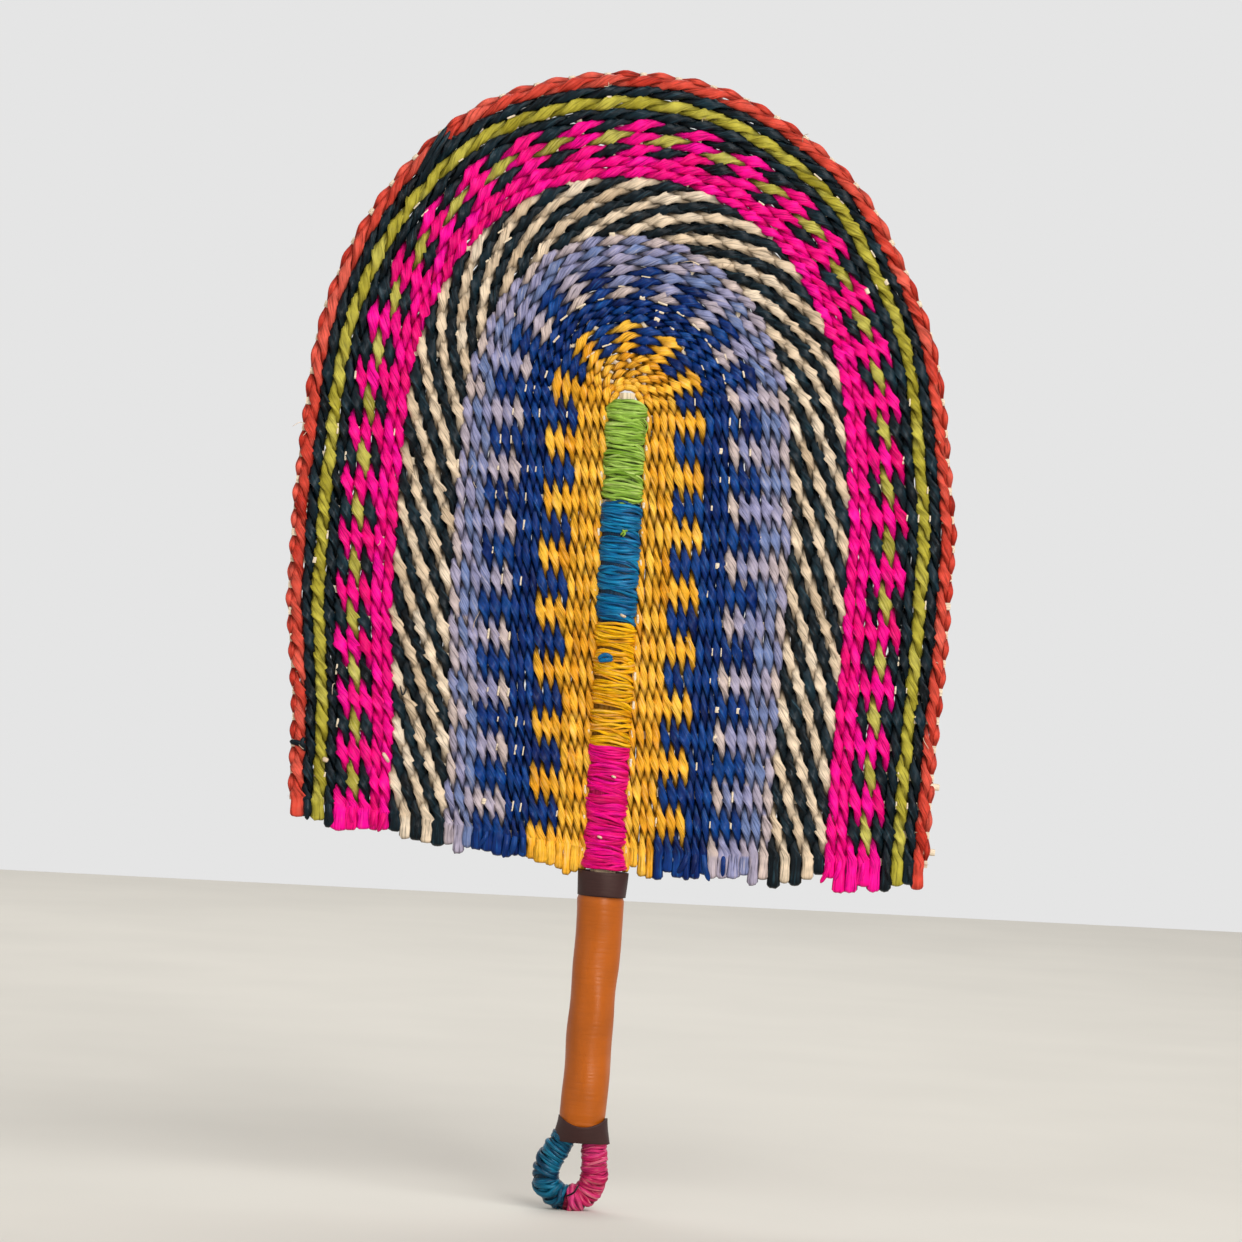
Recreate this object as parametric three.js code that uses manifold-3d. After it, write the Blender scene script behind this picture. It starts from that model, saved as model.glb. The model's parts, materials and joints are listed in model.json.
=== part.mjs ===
// A woven hand fan: an arched straw panel twined row by row on split stakes, a split stick
// bound with dyed straw up its middle, a leather grip and a bound loop to hang it by.
// Millimetres. +Z runs up the fan, its front faces -Y, and the origin is the grip's middle.
import * as THREE from 'three';
import { mergeVertices } from 'three/addons/utils/BufferGeometryUtils.js';
import Module from 'manifold-3d';

const wasm = await Module();
wasm.setup();
const turnOf = THREE.MathUtils.degToRad;

// Clearances
const seatGap = 0.3;
const cutOverrun = 1;
const weldReach = 0.003;

// Panel: an arch whose legs stand on the neck line and whose dome turns round one centre
const domeHeight = 227;
const footLift = 0.8;
const leftFootRise = 18.5;
const legSteps = 4;
const domeSteps = 12;
// the arch bulges and draws in, as hand weaving does: its reach at each station from the
// left foot over the crown to the right foot, as shares of its nominal reach
const archReachShares = [
  0.98, 0.985, 1.018, 1.014, 0.99, 0.984, 0.991, 1.011, 1.035, 1.032, 1.028,
  1.022, 1, 0.985, 0.96, 0.968, 0.99, 1.037, 1.028, 1.007, 0.998,
];

// Rows of twining from the spine outwards; a row's pitch is its width with its gap, told
// as a share of the usual row's
const rowPitch = 4.8;
const rowBands = [
  { name: 'yellow_row', count: 4, pitchShare: 0.79, colour: '#E8A52A' },
  { name: 'yellow_blue_row', count: 3, pitchShare: 1, colour: '#9A8347' },
  { name: 'blue_row', count: 3, pitchShare: 0.81, colour: '#123F8C' },
  { name: 'lavender_blue_row', count: 3, pitchShare: 1.08, colour: '#6472A6' },
  { name: 'lavender_row', count: 3, pitchShare: 0.98, colour: '#A9A0B8' },
  { name: 'cream_black_row', count: 5, pitchShare: 1.13, colour: '#8C7E6C' },
  { name: 'magenta_row', count: 2, pitchShare: 1.06, colour: '#E0088A' },
  { name: 'spotted_row', count: 3, pitchShare: 1.21, colour: '#A61A66' },
  { name: 'inner_navy_row', count: 1, pitchShare: 1, colour: '#12303F' },
  { name: 'lime_row', count: 1, pitchShare: 1.21, colour: '#C6C62E' },
  { name: 'outer_navy_row', count: 1, pitchShare: 1.06, colour: '#12303F' },
  { name: 'coral_rim_row', count: 1, pitchShare: 1.21, colour: '#E8503A' },
];
const rowCrestReach = 3.4;

// Stakes: split culms, laid across the stick in the legs and fanned out in the dome
const stakesPerLeg = 16;
const stakeWidth = 3.5;
const stakeThick = 1.8;
const stakeProud = 0.8;
const hubStakeWidth = 2.4;
const hubLift = 1.5;
const crownCounts = [10, 16, 23, 29];
const crownBands = ['yellow_blue_row', 'lavender_blue_row', 'cream_black_row'];

// Split stick: a flat blade up the panel, round inside the grip
const bladeHalfWidth = 6;
const bladeHalfThick = 4;
const bladeChamfer = 2.4;
const tipHalfWidth = 3.8;
const tipRise = 5;
const tipShoulder = 0.6;
const slotRelief = 3.4;
const stickRadius = 9.5;
const stickSides = 20;
const shoulderDrop = 1;
const bladeRoot = 12;

// Spine winding: dyed straw round the blade, passing between the stakes
const wrapThick = 2.2;
const wrapPitch = 2.7;
const wrapSides = 5;
const spineColours = [
  { name: 'spine_winding_magenta', endShare: 0.265, colour: '#D60E7A' },
  { name: 'spine_winding_gold', endShare: 0.53, colour: '#D9A21B' },
  { name: 'spine_winding_teal', endShare: 0.796, colour: '#146A8E' },
  { name: 'spine_winding_green', endShare: 1, colour: '#7FA83A' },
];

// Grip: a leather sleeve that leans a little from the spine, with a dark band at each end;
// the lower band's heights are measured from the knees of the loop's legs
const gripLean = turnOf(1.8);
const gripRise = 66;
const gripSides = 20;
const sleeveTopDrop = 1.5;
const sleeveNeckRadius = 10.9;
const sleeveTopRadius = 11.6;
const sleeveUpperRadius = 11.3;
const sleeveUpperHeight = 38;
const sleeveWaistRadius = 10.95;
const sleeveWaistHalf = 12;
const sleeveLowerRadius = 11.15;
const sleeveLowerDrop = 40;
const sleeveFootRadius = 11.25;
const sleeveHeelRadius = 10.6;
const neckBandHeight = 12;
const neckBandTopRadius = 12.4;
const neckBandFootRadius = 11.9;
const collarFootFromKnee = 5;
const collarWaistFromKnee = 0.6;
const collarFrontAboveKnee = 3;
const collarSideAboveKnee = 7;
const collarWall = 1.05;
const collarFootHalfWidth = 13.9;
const collarFootHalfDepth = 9.8;
const collarSteps = 24;

// Hanging loop: a bent cane whose legs run up inside the grip, bound in two colours; below
// its knees it hangs over to the left
const loopCoreRadius = 3.2;
const loopCoreSides = 8;
const loopCoreSteps = 34;
const loopBendRadius = 11.9;
const loopCentreDrop = 81.2;
const loopCentreShift = 4;
const kneeDrop = 60;
const loopLegTopDrop = 28;
const loopWrapThick = 2.2;
const loopWrapWidth = 2;
const loopWrapPitch = 2.5;
const seamShift = turnOf(8);

const culmColour = '#E6CFA0';
const stickColour = '#D9BE8C';
const caneColour = '#C9A877';
const tanColour = '#B8662A';
const darkColour = '#3B2429';
const loopTealColour = '#126078';
const loopPinkColour = '#D8407F';

const curlSteps = 8;
const gapSamples = 4;
const roughnessOf = { straw: 0.7, wood: 0.75, leather: 0.55 };

// Sizes that follow from those above
const strandFloor = stakeThick / 2 + seatGap;
const archFoot = footLift + rowCrestReach;
const lastStation = 2 * legSteps + domeSteps;
const windingReach = bladeHalfWidth + seatGap + wrapThick;
const legReachShares = archReachShares.filter((share, station) => (
  station <= legSteps || station >= lastStation - legSteps));
const firstRowRadius = (windingReach + seatGap) / Math.min(...legReachShares);
const panelReach = rowBands.reduce((sum, band) => sum + bandReach(band), 0);
const rimRadius = firstRowRadius + panelReach - seatGap;
const sleeveBore = stickRadius + seatGap;
const loopLegOffset = sleeveBore - seatGap - loopCoreRadius;
const kneeRise = loopCentreDrop - kneeDrop;
const sleeveFoot = kneeDrop - seatGap;
const collarFoot = kneeDrop + collarFootFromKnee;
const collarWaist = kneeDrop + collarWaistFromKnee;
const collarFrontTop = kneeDrop - collarFrontAboveKnee;
const collarSideTop = kneeDrop - collarSideAboveKnee;
const slotFloor = crossStakeHeight(0) - stakeWidth / 2 - slotRelief;

function bandReach(band) {
  return band.count * band.pitchShare * rowPitch;
}

function straw(colour) {
  return new THREE.MeshStandardMaterial({ color: colour, roughness: roughnessOf.straw, metalness: 0 });
}

function wood(colour) {
  return new THREE.MeshStandardMaterial({ color: colour, roughness: roughnessOf.wood, metalness: 0 });
}

function leather(colour) {
  return new THREE.MeshStandardMaterial({ color: colour, roughness: roughnessOf.leather, metalness: 0 });
}

function signedVolume(positions, index) {
  const [a, b, c] = [new THREE.Vector3(), new THREE.Vector3(), new THREE.Vector3()];
  let volume = 0;
  for (let i = 0; i < index.length; i += 3) {
    a.fromArray(positions, index[i] * 3);
    b.fromArray(positions, index[i + 1] * 3);
    c.fromArray(positions, index[i + 2] * 3);
    volume += a.dot(b.cross(c)) / 6;
  }
  return volume;
}

// A closed shell from points and triangles, turned so that its faces point out
function shell(positions, index) {
  if (signedVolume(positions, index) < 0) {
    index.reverse();
  }
  const geometry = new THREE.BufferGeometry();
  geometry.setAttribute('position', new THREE.Float32BufferAttribute(positions, 3));
  geometry.setIndex(index);
  return geometry;
}

function closedForm(geometry) {
  geometry.deleteAttribute('normal');
  geometry.deleteAttribute('uv');
  const merged = mergeVertices(geometry, weldReach);
  return shell(Array.from(merged.attributes.position.array), Array.from(merged.index.array));
}

// Skins a run of rings of points: a ring-shaped body when closed, else capped at both ends
function skinRings(rings, closed) {
  const sides = rings[0].length;
  const positions = rings.flat().flatMap((point) => point.toArray());
  const index = [];
  const spans = closed ? rings.length : rings.length - 1;
  for (let ring = 0; ring < spans; ring += 1) {
    const next = (ring + 1) % rings.length;
    for (let side = 0; side < sides; side += 1) {
      const beside = (side + 1) % sides;
      const [p, q] = [ring * sides + side, ring * sides + beside];
      const [r, s] = [next * sides + side, next * sides + beside];
      index.push(p, q, r, q, s, r);
    }
  }
  if (!closed) {
    const last = (rings.length - 1) * sides;
    for (let side = 1; side < sides - 1; side += 1) {
      index.push(0, side + 1, side);
      index.push(last, last + side, last + side + 1);
    }
  }
  return shell(positions, index);
}

function solidOf(geometry) {
  const form = closedForm(geometry);
  const vertProperties = new Float32Array(form.attributes.position.array);
  const triVerts = new Uint32Array(form.index.array);
  return new wasm.Manifold(new wasm.Mesh({ numProp: 3, vertProperties, triVerts }));
}

function geometryOf(solid) {
  const mesh = solid.getMesh();
  return shell(Array.from(mesh.vertProperties), Array.from(mesh.triVerts));
}

// An outline drawn in X and Z, given a thickness about the plane y = 0
function plateXZ(outline, thick) {
  const shape = new THREE.Shape(outline);
  const plate = new THREE.ExtrudeGeometry(shape, { depth: thick, bevelEnabled: false });
  plate.translate(0, 0, -thick / 2);
  plate.rotateX(Math.PI / 2);
  return closedForm(plate);
}

// A profile of radii and heights turned about +Z, with one flat side facing +Y
function turnedZ(profile, sides) {
  const points = profile.map(([radius, height]) => new THREE.Vector2(radius, height));
  const turned = new THREE.LatheGeometry([...points, points[0]], sides, Math.PI / sides);
  turned.rotateX(Math.PI / 2);
  return closedForm(turned);
}

function named(name, geometry, material) {
  const mesh = new THREE.Mesh(geometry, material);
  mesh.name = name;
  return mesh;
}

// The arch: stations run from the left leg's foot over the dome to the right leg's foot

function archReachShare(station) {
  const below = Math.min(Math.floor(station), lastStation - 1);
  const share = station - below;
  return archReachShares[below] * (1 - share) + archReachShares[below + 1] * share;
}

function footHeight(side, radius) {
  const outward = (radius - firstRowRadius) / (rimRadius - firstRowRadius);
  return side < 0 ? archFoot + leftFootRise * outward : archFoot;
}

function archPoint(station, radius) {
  const fromFoot = Math.min(station, lastStation - station);
  const side = station < lastStation / 2 ? -1 : 1;
  const reach = radius * archReachShare(station);
  if (fromFoot < legSteps) {
    const foot = footHeight(side, radius);
    const rise = (domeHeight - foot) * fromFoot / legSteps;
    return new THREE.Vector2(side * reach, foot + rise);
  }
  const angle = (fromFoot - legSteps) / domeSteps * Math.PI;
  const across = side * reach * Math.cos(angle);
  return new THREE.Vector2(across, domeHeight + reach * Math.sin(angle));
}

// One row of twining: a strand in front of the stakes and one behind them, each with a
// raised crest, that turn into each other below the lowest stake at both feet
function rowGeometry(innerRadius, outerRadius) {
  const crestRadius = (innerRadius + outerRadius) / 2;
  const corners = [
    { radius: innerRadius, stand: strandFloor },
    { radius: outerRadius, stand: strandFloor },
    { radius: crestRadius, stand: rowCrestReach },
  ];
  const sectionAt = (station, facing) => corners.map(({ radius, stand }) => {
    const place = archPoint(station, radius);
    const dip = facing === 0 ? stand : 0;
    return new THREE.Vector3(place.x, facing * stand, place.y - dip);
  });
  const stations = Array.from({ length: lastStation + 1 }, (_, station) => station);
  const front = stations.map((station) => sectionAt(station, -1));
  const back = stations.map((station) => sectionAt(station, 1)).reverse();
  return skinRings([...front, sectionAt(lastStation, 0), ...back, sectionAt(0, 0)], true);
}

function weftRows() {
  const rows = [];
  let radius = firstRowRadius;
  for (const band of rowBands) {
    const pitch = bandReach(band) / band.count;
    for (let number = 1; number <= band.count; number += 1) {
      const name = band.count > 1 ? `${band.name}_${number}` : band.name;
      const geometry = rowGeometry(radius, radius + pitch - seatGap);
      rows.push(named(name, geometry, straw(band.colour)));
      radius += pitch;
    }
  }
  return rows;
}

function bandMiddleRadius(name) {
  let radius = firstRowRadius;
  for (const band of rowBands) {
    if (band.name === name) {
      return radius + bandReach(band) / 2;
    }
    radius += bandReach(band);
  }
  throw new Error(`no rows named ${name}`);
}

// Stakes in the legs: level on the right, rising to the raised left foot on the left

function crossStake(index) {
  const station = (index + 0.5) / stakesPerLeg * legSteps;
  const left = archPoint(station, rimRadius);
  const bend = archPoint(station, firstRowRadius);
  const right = archPoint(lastStation - station, rimRadius);
  left.x -= stakeProud;
  right.x += stakeProud;
  const line = [left, bend, right];
  const edge = (side) => line.map((at) => new THREE.Vector2(at.x, at.y + side * stakeWidth / 2));
  return plateXZ([...edge(-1), ...edge(1).reverse()], stakeThick);
}

function crossStakes() {
  return Array.from({ length: stakesPerLeg }, (_, index) => {
    const number = String(index + 1).padStart(2, '0');
    return named(`cross_stake_${number}`, crossStake(index), wood(culmColour));
  });
}

function crossStakeHeight(index) {
  return archFoot + (domeHeight - archFoot) * (index + 0.5) / stakesPerLeg;
}

// Stakes in the dome: ten leave the hub and split again and again towards the rim

function crownPoint(angle, radius, offset) {
  const station = legSteps + angle / Math.PI * domeSteps;
  const reach = radius * archReachShare(station);
  const x = -reach * Math.cos(angle) + offset * Math.sin(angle);
  const z = reach * Math.sin(angle) + offset * Math.cos(angle);
  const lift = hubLift * (1 - radius / (rimRadius + stakeProud));
  return new THREE.Vector2(x, domeHeight + lift + z);
}

function crownAngle(level, index) {
  return (index + 0.5) / crownCounts[level] * Math.PI;
}

function crownLevelRadius(level) {
  return level < crownBands.length ? bandMiddleRadius(crownBands[level]) : rimRadius + stakeProud;
}

function crownFork(level, index, kid) {
  const [start, end] = [crownLevelRadius(level), crownLevelRadius(level + 1)];
  const parting = end * Math.PI / crownCounts[level + 1];
  const share = stakeWidth / parting;
  const middle = (crownAngle(level + 1, kid - 1) + crownAngle(level + 1, kid)) / 2;
  const angle = crownAngle(level, index) * (1 - share) + middle * share;
  return crownPoint(angle, start + (end - start) * share, 0);
}

function crownBranch(level, index) {
  const [angle, radius] = [crownAngle(level, index), crownLevelRadius(level)];
  const half = (level === 0 ? hubStakeWidth : stakeWidth) / 2;
  const outline = [crownPoint(angle, radius, -half)];
  if (level + 1 < crownCounts.length) {
    const ratio = crownCounts[level] / crownCounts[level + 1];
    let kid = Math.ceil(index / ratio);
    for (let first = true; Math.floor(kid * ratio) === index; first = false) {
      if (!first) {
        outline.push(crownFork(level, index, kid));
      }
      outline.push(...crownBranch(level + 1, kid));
      kid += 1;
    }
  }
  outline.push(crownPoint(angle, radius, half));
  return outline;
}

function crownStakes() {
  const hubRadius = hubStakeWidth / 2 / Math.sin(Math.PI / crownCounts[0] / 2);
  const outline = [new THREE.Vector2(-hubRadius, domeHeight + seatGap)];
  for (let index = 0; index < crownCounts[0]; index += 1) {
    if (index > 0) {
      outline.push(crownPoint(index / crownCounts[0] * Math.PI, hubRadius, 0));
    }
    outline.push(...crownBranch(0, index));
  }
  outline.push(new THREE.Vector2(hubRadius, domeHeight + seatGap));
  return named('crown_stakes', plateXZ(outline, stakeThick), wood(culmColour));
}

// The eight corners of a chamfered bar that stands out from the blade by an offset
function bladeSection(offset, halfWidth) {
  const [x, y] = [halfWidth + offset, bladeHalfThick + offset];
  const chamfer = Math.min(bladeChamfer, halfWidth / 2) + offset * (2 - Math.SQRT2);
  return [
    [-x, chamfer - y], [chamfer - x, -y], [x - chamfer, -y], [x, chamfer - y],
    [x, y - chamfer], [x - chamfer, y], [chamfer - x, y], [-x, y - chamfer],
  ];
}

function splitStick(gripMatrix, panelMatrix) {
  const bladeRing = (height, halfWidth) => bladeSection(0, halfWidth)
    .map(([x, y]) => new THREE.Vector3(x, y, height));
  const bladeRings = [
    bladeRing(-bladeRoot, bladeHalfWidth),
    bladeRing(domeHeight - tipShoulder, bladeHalfWidth),
    bladeRing(domeHeight, tipHalfWidth),
    bladeRing(domeHeight + tipRise, tipHalfWidth),
  ];
  const blade = skinRings(bladeRings, false).applyMatrix4(panelMatrix);
  const rodTop = gripRise - shoulderDrop;
  const rodProfile = [[0, -sleeveFoot], [stickRadius, -sleeveFoot], [stickRadius, rodTop], [0, rodTop]];
  const rod = turnedZ(rodProfile, stickSides).applyMatrix4(gripMatrix);
  const slotTop = domeHeight + tipRise + cutOverrun;
  const slotSpan = 2 * (bladeHalfWidth + cutOverrun);
  const slot = new THREE.BoxGeometry(slotSpan, 2 * strandFloor, slotTop - slotFloor);
  slot.translate(0, 0, (slotTop + slotFloor) / 2).applyMatrix4(panelMatrix);
  let stick = solidOf(blade).add(solidOf(rod)).subtract(solidOf(slot));
  for (const side of [-1, 1]) {
    const grooveTop = seatGap - loopLegTopDrop;
    const grooveFoot = -sleeveFoot - cutOverrun;
    const radius = loopCoreRadius + seatGap;
    const grooveProfile = [[0, grooveFoot], [radius, grooveFoot], [radius, grooveTop], [0, grooveTop]];
    const groove = turnedZ(grooveProfile, loopCoreSides * 2);
    groove.translate(side * loopLegOffset, 0, 0).applyMatrix4(gripMatrix);
    stick = stick.subtract(solidOf(groove));
  }
  return named('split_stick', geometryOf(stick), wood(stickColour));
}

// The least distance between two places on a tube that are most of a turn apart, less its
// own width, measured on points along its middle
function leastGap(points, width) {
  const samples = [];
  for (let i = 0; i + 1 < points.length; i += 1) {
    for (let part = 0; part < gapSamples; part += 1) {
      samples.push(points[i].clone().lerp(points[i + 1], part / gapSamples));
    }
  }
  const apart = curlSteps * gapSamples * 3 / 4;
  let least = Infinity;
  for (let i = 0; i < samples.length; i += 1) {
    for (let j = i + apart; j < samples.length; j += 1) {
      least = Math.min(least, samples[i].distanceTo(samples[j]));
    }
  }
  return least - width;
}

// A wound strand along points, each with the direction that is outwards there
function woundStrand(name, points, outwards, thick, width) {
  const rings = points.map((point, i) => {
    const before = points[Math.max(i - 1, 0)];
    const after = points[Math.min(i + 1, points.length - 1)];
    const beside = after.clone().sub(before).cross(outwards[i]).normalize();
    return Array.from({ length: wrapSides }, (_, side) => {
      const angle = side / wrapSides * 2 * Math.PI;
      return point.clone().addScaledVector(outwards[i], Math.cos(angle) * thick / 2)
        .addScaledVector(beside, Math.sin(angle) * width / 2);
    });
  });
  console.log(`least gap of ${name} to itself: ${leastGap(points, width).toFixed(2)} mm`);
  return skinRings(rings, false);
}

// Heights at which the spine winding passes the blade's left and right side, turn by turn
function spineTurns() {
  const turns = [];
  const fill = (low, high) => {
    const room = high - low - 2 * seatGap - wrapThick - wrapPitch / 2;
    const count = Math.floor(room / wrapPitch) + 1;
    for (let turn = 0; turn < count; turn += 1) {
      const height = (low + high) / 2 + (turn - (count - 1) / 2) * wrapPitch;
      turns.push({ left: height - wrapPitch / 4, right: height + wrapPitch / 4 });
    }
  };
  let low = -shoulderDrop;
  for (let index = 0; index < stakesPerLeg; index += 1) {
    fill(low, crossStakeHeight(index) - stakeWidth / 2);
    low = crossStakeHeight(index) + stakeWidth / 2;
  }
  fill(low, domeHeight);
  return turns;
}

// Eight corners a turn: level past the stakes at each side, climbing across front and back
function spineWinding({ name, colour }, turns) {
  const corners = bladeSection(seatGap + wrapThick / 2, bladeHalfWidth);
  const [points, outwards] = [[], []];
  const mitre = 1 + Math.SQRT1_2;
  const addCorner = (corner, height) => {
    const [x, y] = corners[corner];
    const flatFirst = corner % 4 === 0 || corner % 4 === 3;
    const normal = flatFirst ? [1 + Math.SQRT1_2, Math.SQRT1_2] : [Math.SQRT1_2, 1 + Math.SQRT1_2];
    points.push(new THREE.Vector3(x, y, height));
    outwards.push(new THREE.Vector3(Math.sign(x) * normal[0], Math.sign(y) * normal[1], 0)
      .divideScalar(mitre));
  };
  const slant = Math.hypot(corners[1][0] - corners[0][0], corners[1][1] - corners[0][1]);
  const slantShare = slant / (2 * slant + corners[2][0] - corners[1][0]);
  const lastCorner = corners.length - 1;
  addCorner(lastCorner - 1, turns[0].left - (turns[0].right - turns[0].left) * slantShare);
  turns.forEach(({ left, right }, turn) => {
    const next = turn + 1 < turns.length ? turns[turn + 1].left : 2 * right - left;
    const [rise, backRise] = [(right - left) * slantShare, (next - right) * slantShare];
    const front = [left, left + rise, right - rise, right];
    const back = [right, right + backRise, next - backRise];
    [left, ...front, ...back].forEach((height, step) => {
      addCorner((lastCorner + step) % corners.length, height);
    });
  });
  points.pop();
  outwards.pop();
  return named(name, woundStrand(name, points, outwards, wrapThick, wrapThick), straw(colour));
}

function spineWindings() {
  const turns = spineTurns();
  let first = 0;
  return spineColours.map((segment) => {
    const end = Math.round(segment.endShare * turns.length);
    const winding = spineWinding(segment, turns.slice(first, end));
    first = end;
    return winding;
  });
}

// Grip parts, in the leaning frame

function leatherGrip() {
  const bandFoot = gripRise - neckBandHeight;
  const profile = [
    [sleeveBore, -sleeveFoot],
    [sleeveHeelRadius, -sleeveFoot],
    [sleeveHeelRadius, -collarSideTop],
    [sleeveFootRadius, seatGap - collarSideTop],
    [sleeveLowerRadius, -sleeveLowerDrop],
    [sleeveWaistRadius, -sleeveWaistHalf],
    [sleeveWaistRadius, sleeveWaistHalf],
    [sleeveUpperRadius, sleeveUpperHeight],
    [sleeveTopRadius, bandFoot - seatGap],
    [sleeveNeckRadius, bandFoot],
    [sleeveNeckRadius, gripRise - sleeveTopDrop],
    [sleeveBore, gripRise - sleeveTopDrop],
  ];
  return named('leather_grip', turnedZ(profile, gripSides), leather(tanColour));
}

function neckBand() {
  const foot = gripRise - neckBandHeight;
  const bore = sleeveNeckRadius + seatGap;
  const profile = [[bore, foot], [neckBandFootRadius, foot], [neckBandTopRadius, gripRise], [bore, gripRise]];
  return named('neck_band', turnedZ(profile, gripSides), leather(darkColour));
}

// The lower band: its top edge dips at front and back, and its foot spreads sideways
function bottomCollar() {
  const bore = sleeveHeelRadius + seatGap;
  const rings = Array.from({ length: collarSteps }, (_, step) => {
    const angle = step / collarSteps * 2 * Math.PI;
    const [cos, sin] = [Math.cos(angle), Math.sin(angle)];
    const top = -collarFrontTop + (collarFrontTop - collarSideTop) * cos * cos;
    const corner = (halfWidth, halfDepth, height) => (
      new THREE.Vector3(halfWidth * cos, halfDepth * sin, height));
    const waistHalfWidth = (bore + collarWall + collarFootHalfWidth) / 2;
    return [
      corner(collarFootHalfWidth, collarFootHalfDepth, -collarFoot),
      corner(waistHalfWidth, bore + collarWall, -collarWaist),
      corner(bore + collarWall, bore + collarWall, top),
      corner(bore, bore, top),
      corner(waistHalfWidth - collarWall, bore, -collarWaist),
      corner(collarFootHalfWidth - collarWall, collarFootHalfDepth - collarWall, -collarFoot),
    ];
  });
  return named('bottom_collar', skinRings(rings, true), leather(darkColour));
}

// Hanging loop: two straight legs, a splay on each side and one round bend below

// A limb runs from its knee to where it touches the bend: how far it leans out, and its length
function limbLine(side) {
  const kneeReach = loopLegOffset + side * loopCentreShift;
  const kneeDistance = Math.hypot(kneeReach, kneeRise);
  const splay = Math.atan2(kneeRise, kneeReach) - Math.acos(loopBendRadius / kneeDistance);
  return { splay, limbLength: Math.sqrt(kneeDistance ** 2 - loopBendRadius ** 2) };
}

class LoopBend extends THREE.Curve {
  getPoint(share, target = new THREE.Vector3()) {
    const [left, right] = [limbLine(-1).splay, limbLine(1).splay];
    const angle = Math.PI - left + share * (Math.PI + left + right);
    const x = loopBendRadius * Math.cos(angle) - loopCentreShift;
    return target.set(x, 0, loopBendRadius * Math.sin(angle) - loopCentreDrop);
  }
}

function loopCore() {
  const legTop = new THREE.Vector3(-loopLegOffset, 0, -loopLegTopDrop);
  const knee = new THREE.Vector3(-loopLegOffset, 0, -kneeDrop);
  const bend = new LoopBend();
  const mirrored = (point) => new THREE.Vector3(-point.x, point.y, point.z);
  const path = new THREE.CurvePath();
  path.add(new THREE.LineCurve3(legTop, knee));
  path.add(new THREE.LineCurve3(knee, bend.getPoint(0)));
  path.add(bend);
  path.add(new THREE.LineCurve3(bend.getPoint(1), mirrored(knee)));
  path.add(new THREE.LineCurve3(mirrored(knee), mirrored(legTop)));
  const section = Array.from({ length: loopCoreSides }, (_, side) => {
    const angle = (side + 0.5) / loopCoreSides * 2 * Math.PI;
    return new THREE.Vector2(loopCoreRadius * Math.cos(angle), loopCoreRadius * Math.sin(angle));
  });
  const options = { steps: loopCoreSteps, extrudePath: path, bevelEnabled: false };
  const core = new THREE.ExtrudeGeometry(new THREE.Shape(section), options);
  return named('loop_core', closedForm(core), wood(caneColour));
}

// A place on a limb below the collar: its middle, and the direction away from the hole
function limbPlace(side, length) {
  const { splay, limbLength } = limbLine(side);
  const straight = limbLength - (collarFoot - kneeDrop) / Math.cos(splay);
  const past = Math.max(length - straight, 0) / loopBendRadius;
  const angle = past - splay;
  const outward = new THREE.Vector3(side * Math.cos(angle), 0, -Math.sin(angle));
  const middle = outward.clone().multiplyScalar(loopBendRadius);
  middle.x -= loopCentreShift;
  middle.z -= loopCentreDrop;
  const back = Math.max(straight - length, 0);
  middle.x -= side * back * Math.sin(splay);
  middle.z += back * Math.cos(splay);
  return { middle, outward, straight };
}

// Turns lie evenly along the hole's edge, so they fan out round the outside of the bend; the
// first one clears the collar on the side towards which the limb leans
function loopWinding(name, side, seamAngle, colour) {
  const windRadius = (loopCoreRadius + seatGap + loopWrapThick / 2) / Math.cos(Math.PI / curlSteps);
  const crowding = 1 - windRadius / loopBendRadius;
  const { splay } = limbLine(side);
  const { straight } = limbPlace(side, 0);
  const endClear = loopWrapWidth / 2 + seatGap;
  const wrapStart = (windRadius + loopWrapThick / 2) * Math.tan(splay) + endClear;
  const bendTurn = Math.PI / 2 + splay + seamAngle;
  const bendLength = bendTurn * loopBendRadius - endClear / crowding;
  const edgeLength = straight - wrapStart + bendLength * crowding;
  const steps = Math.floor(edgeLength / loopWrapPitch * curlSteps);
  const [points, outwards] = [[], []];
  for (let step = 0; step <= steps; step += 1) {
    const edge = wrapStart + step * loopWrapPitch / curlSteps;
    const length = Math.min(edge, straight) + Math.max(edge - straight, 0) / crowding;
    const { middle, outward } = limbPlace(side, length);
    const turn = step / curlSteps * 2 * Math.PI;
    const away = outward.multiplyScalar(Math.cos(turn));
    away.y = Math.sin(turn);
    points.push(middle.addScaledVector(away, windRadius));
    outwards.push(away);
  }
  return named(name, woundStrand(name, points, outwards, loopWrapThick, loopWrapWidth), straw(colour));
}

function handFan() {
  const fan = new THREE.Group();
  const handle = new THREE.Group();
  handle.rotation.y = gripLean;
  handle.updateMatrix();
  const panel = new THREE.Group();
  panel.position.set(gripRise * Math.sin(gripLean), 0, gripRise * Math.cos(gripLean));
  panel.updateMatrix();
  fan.add(splitStick(handle.matrix, panel.matrix), handle, panel);
  handle.add(leatherGrip(), neckBand(), bottomCollar(), loopCore());
  handle.add(loopWinding('loop_winding_teal', -1, -seamShift, loopTealColour));
  handle.add(loopWinding('loop_winding_pink', 1, seamShift, loopPinkColour));
  panel.add(...spineWindings(), ...crossStakes(), crownStakes(), ...weftRows());
  return fan;
}

export default handFan();
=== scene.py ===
"""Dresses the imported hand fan: straw twined row by row round its stakes, a spine bound with
dyed straw, a leather grip with two dark bands, and a bound hanging loop.

Lengths are in metres, in the frame's own axes: +Z up the fan, its front facing -Y."""
import json
import math

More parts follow.
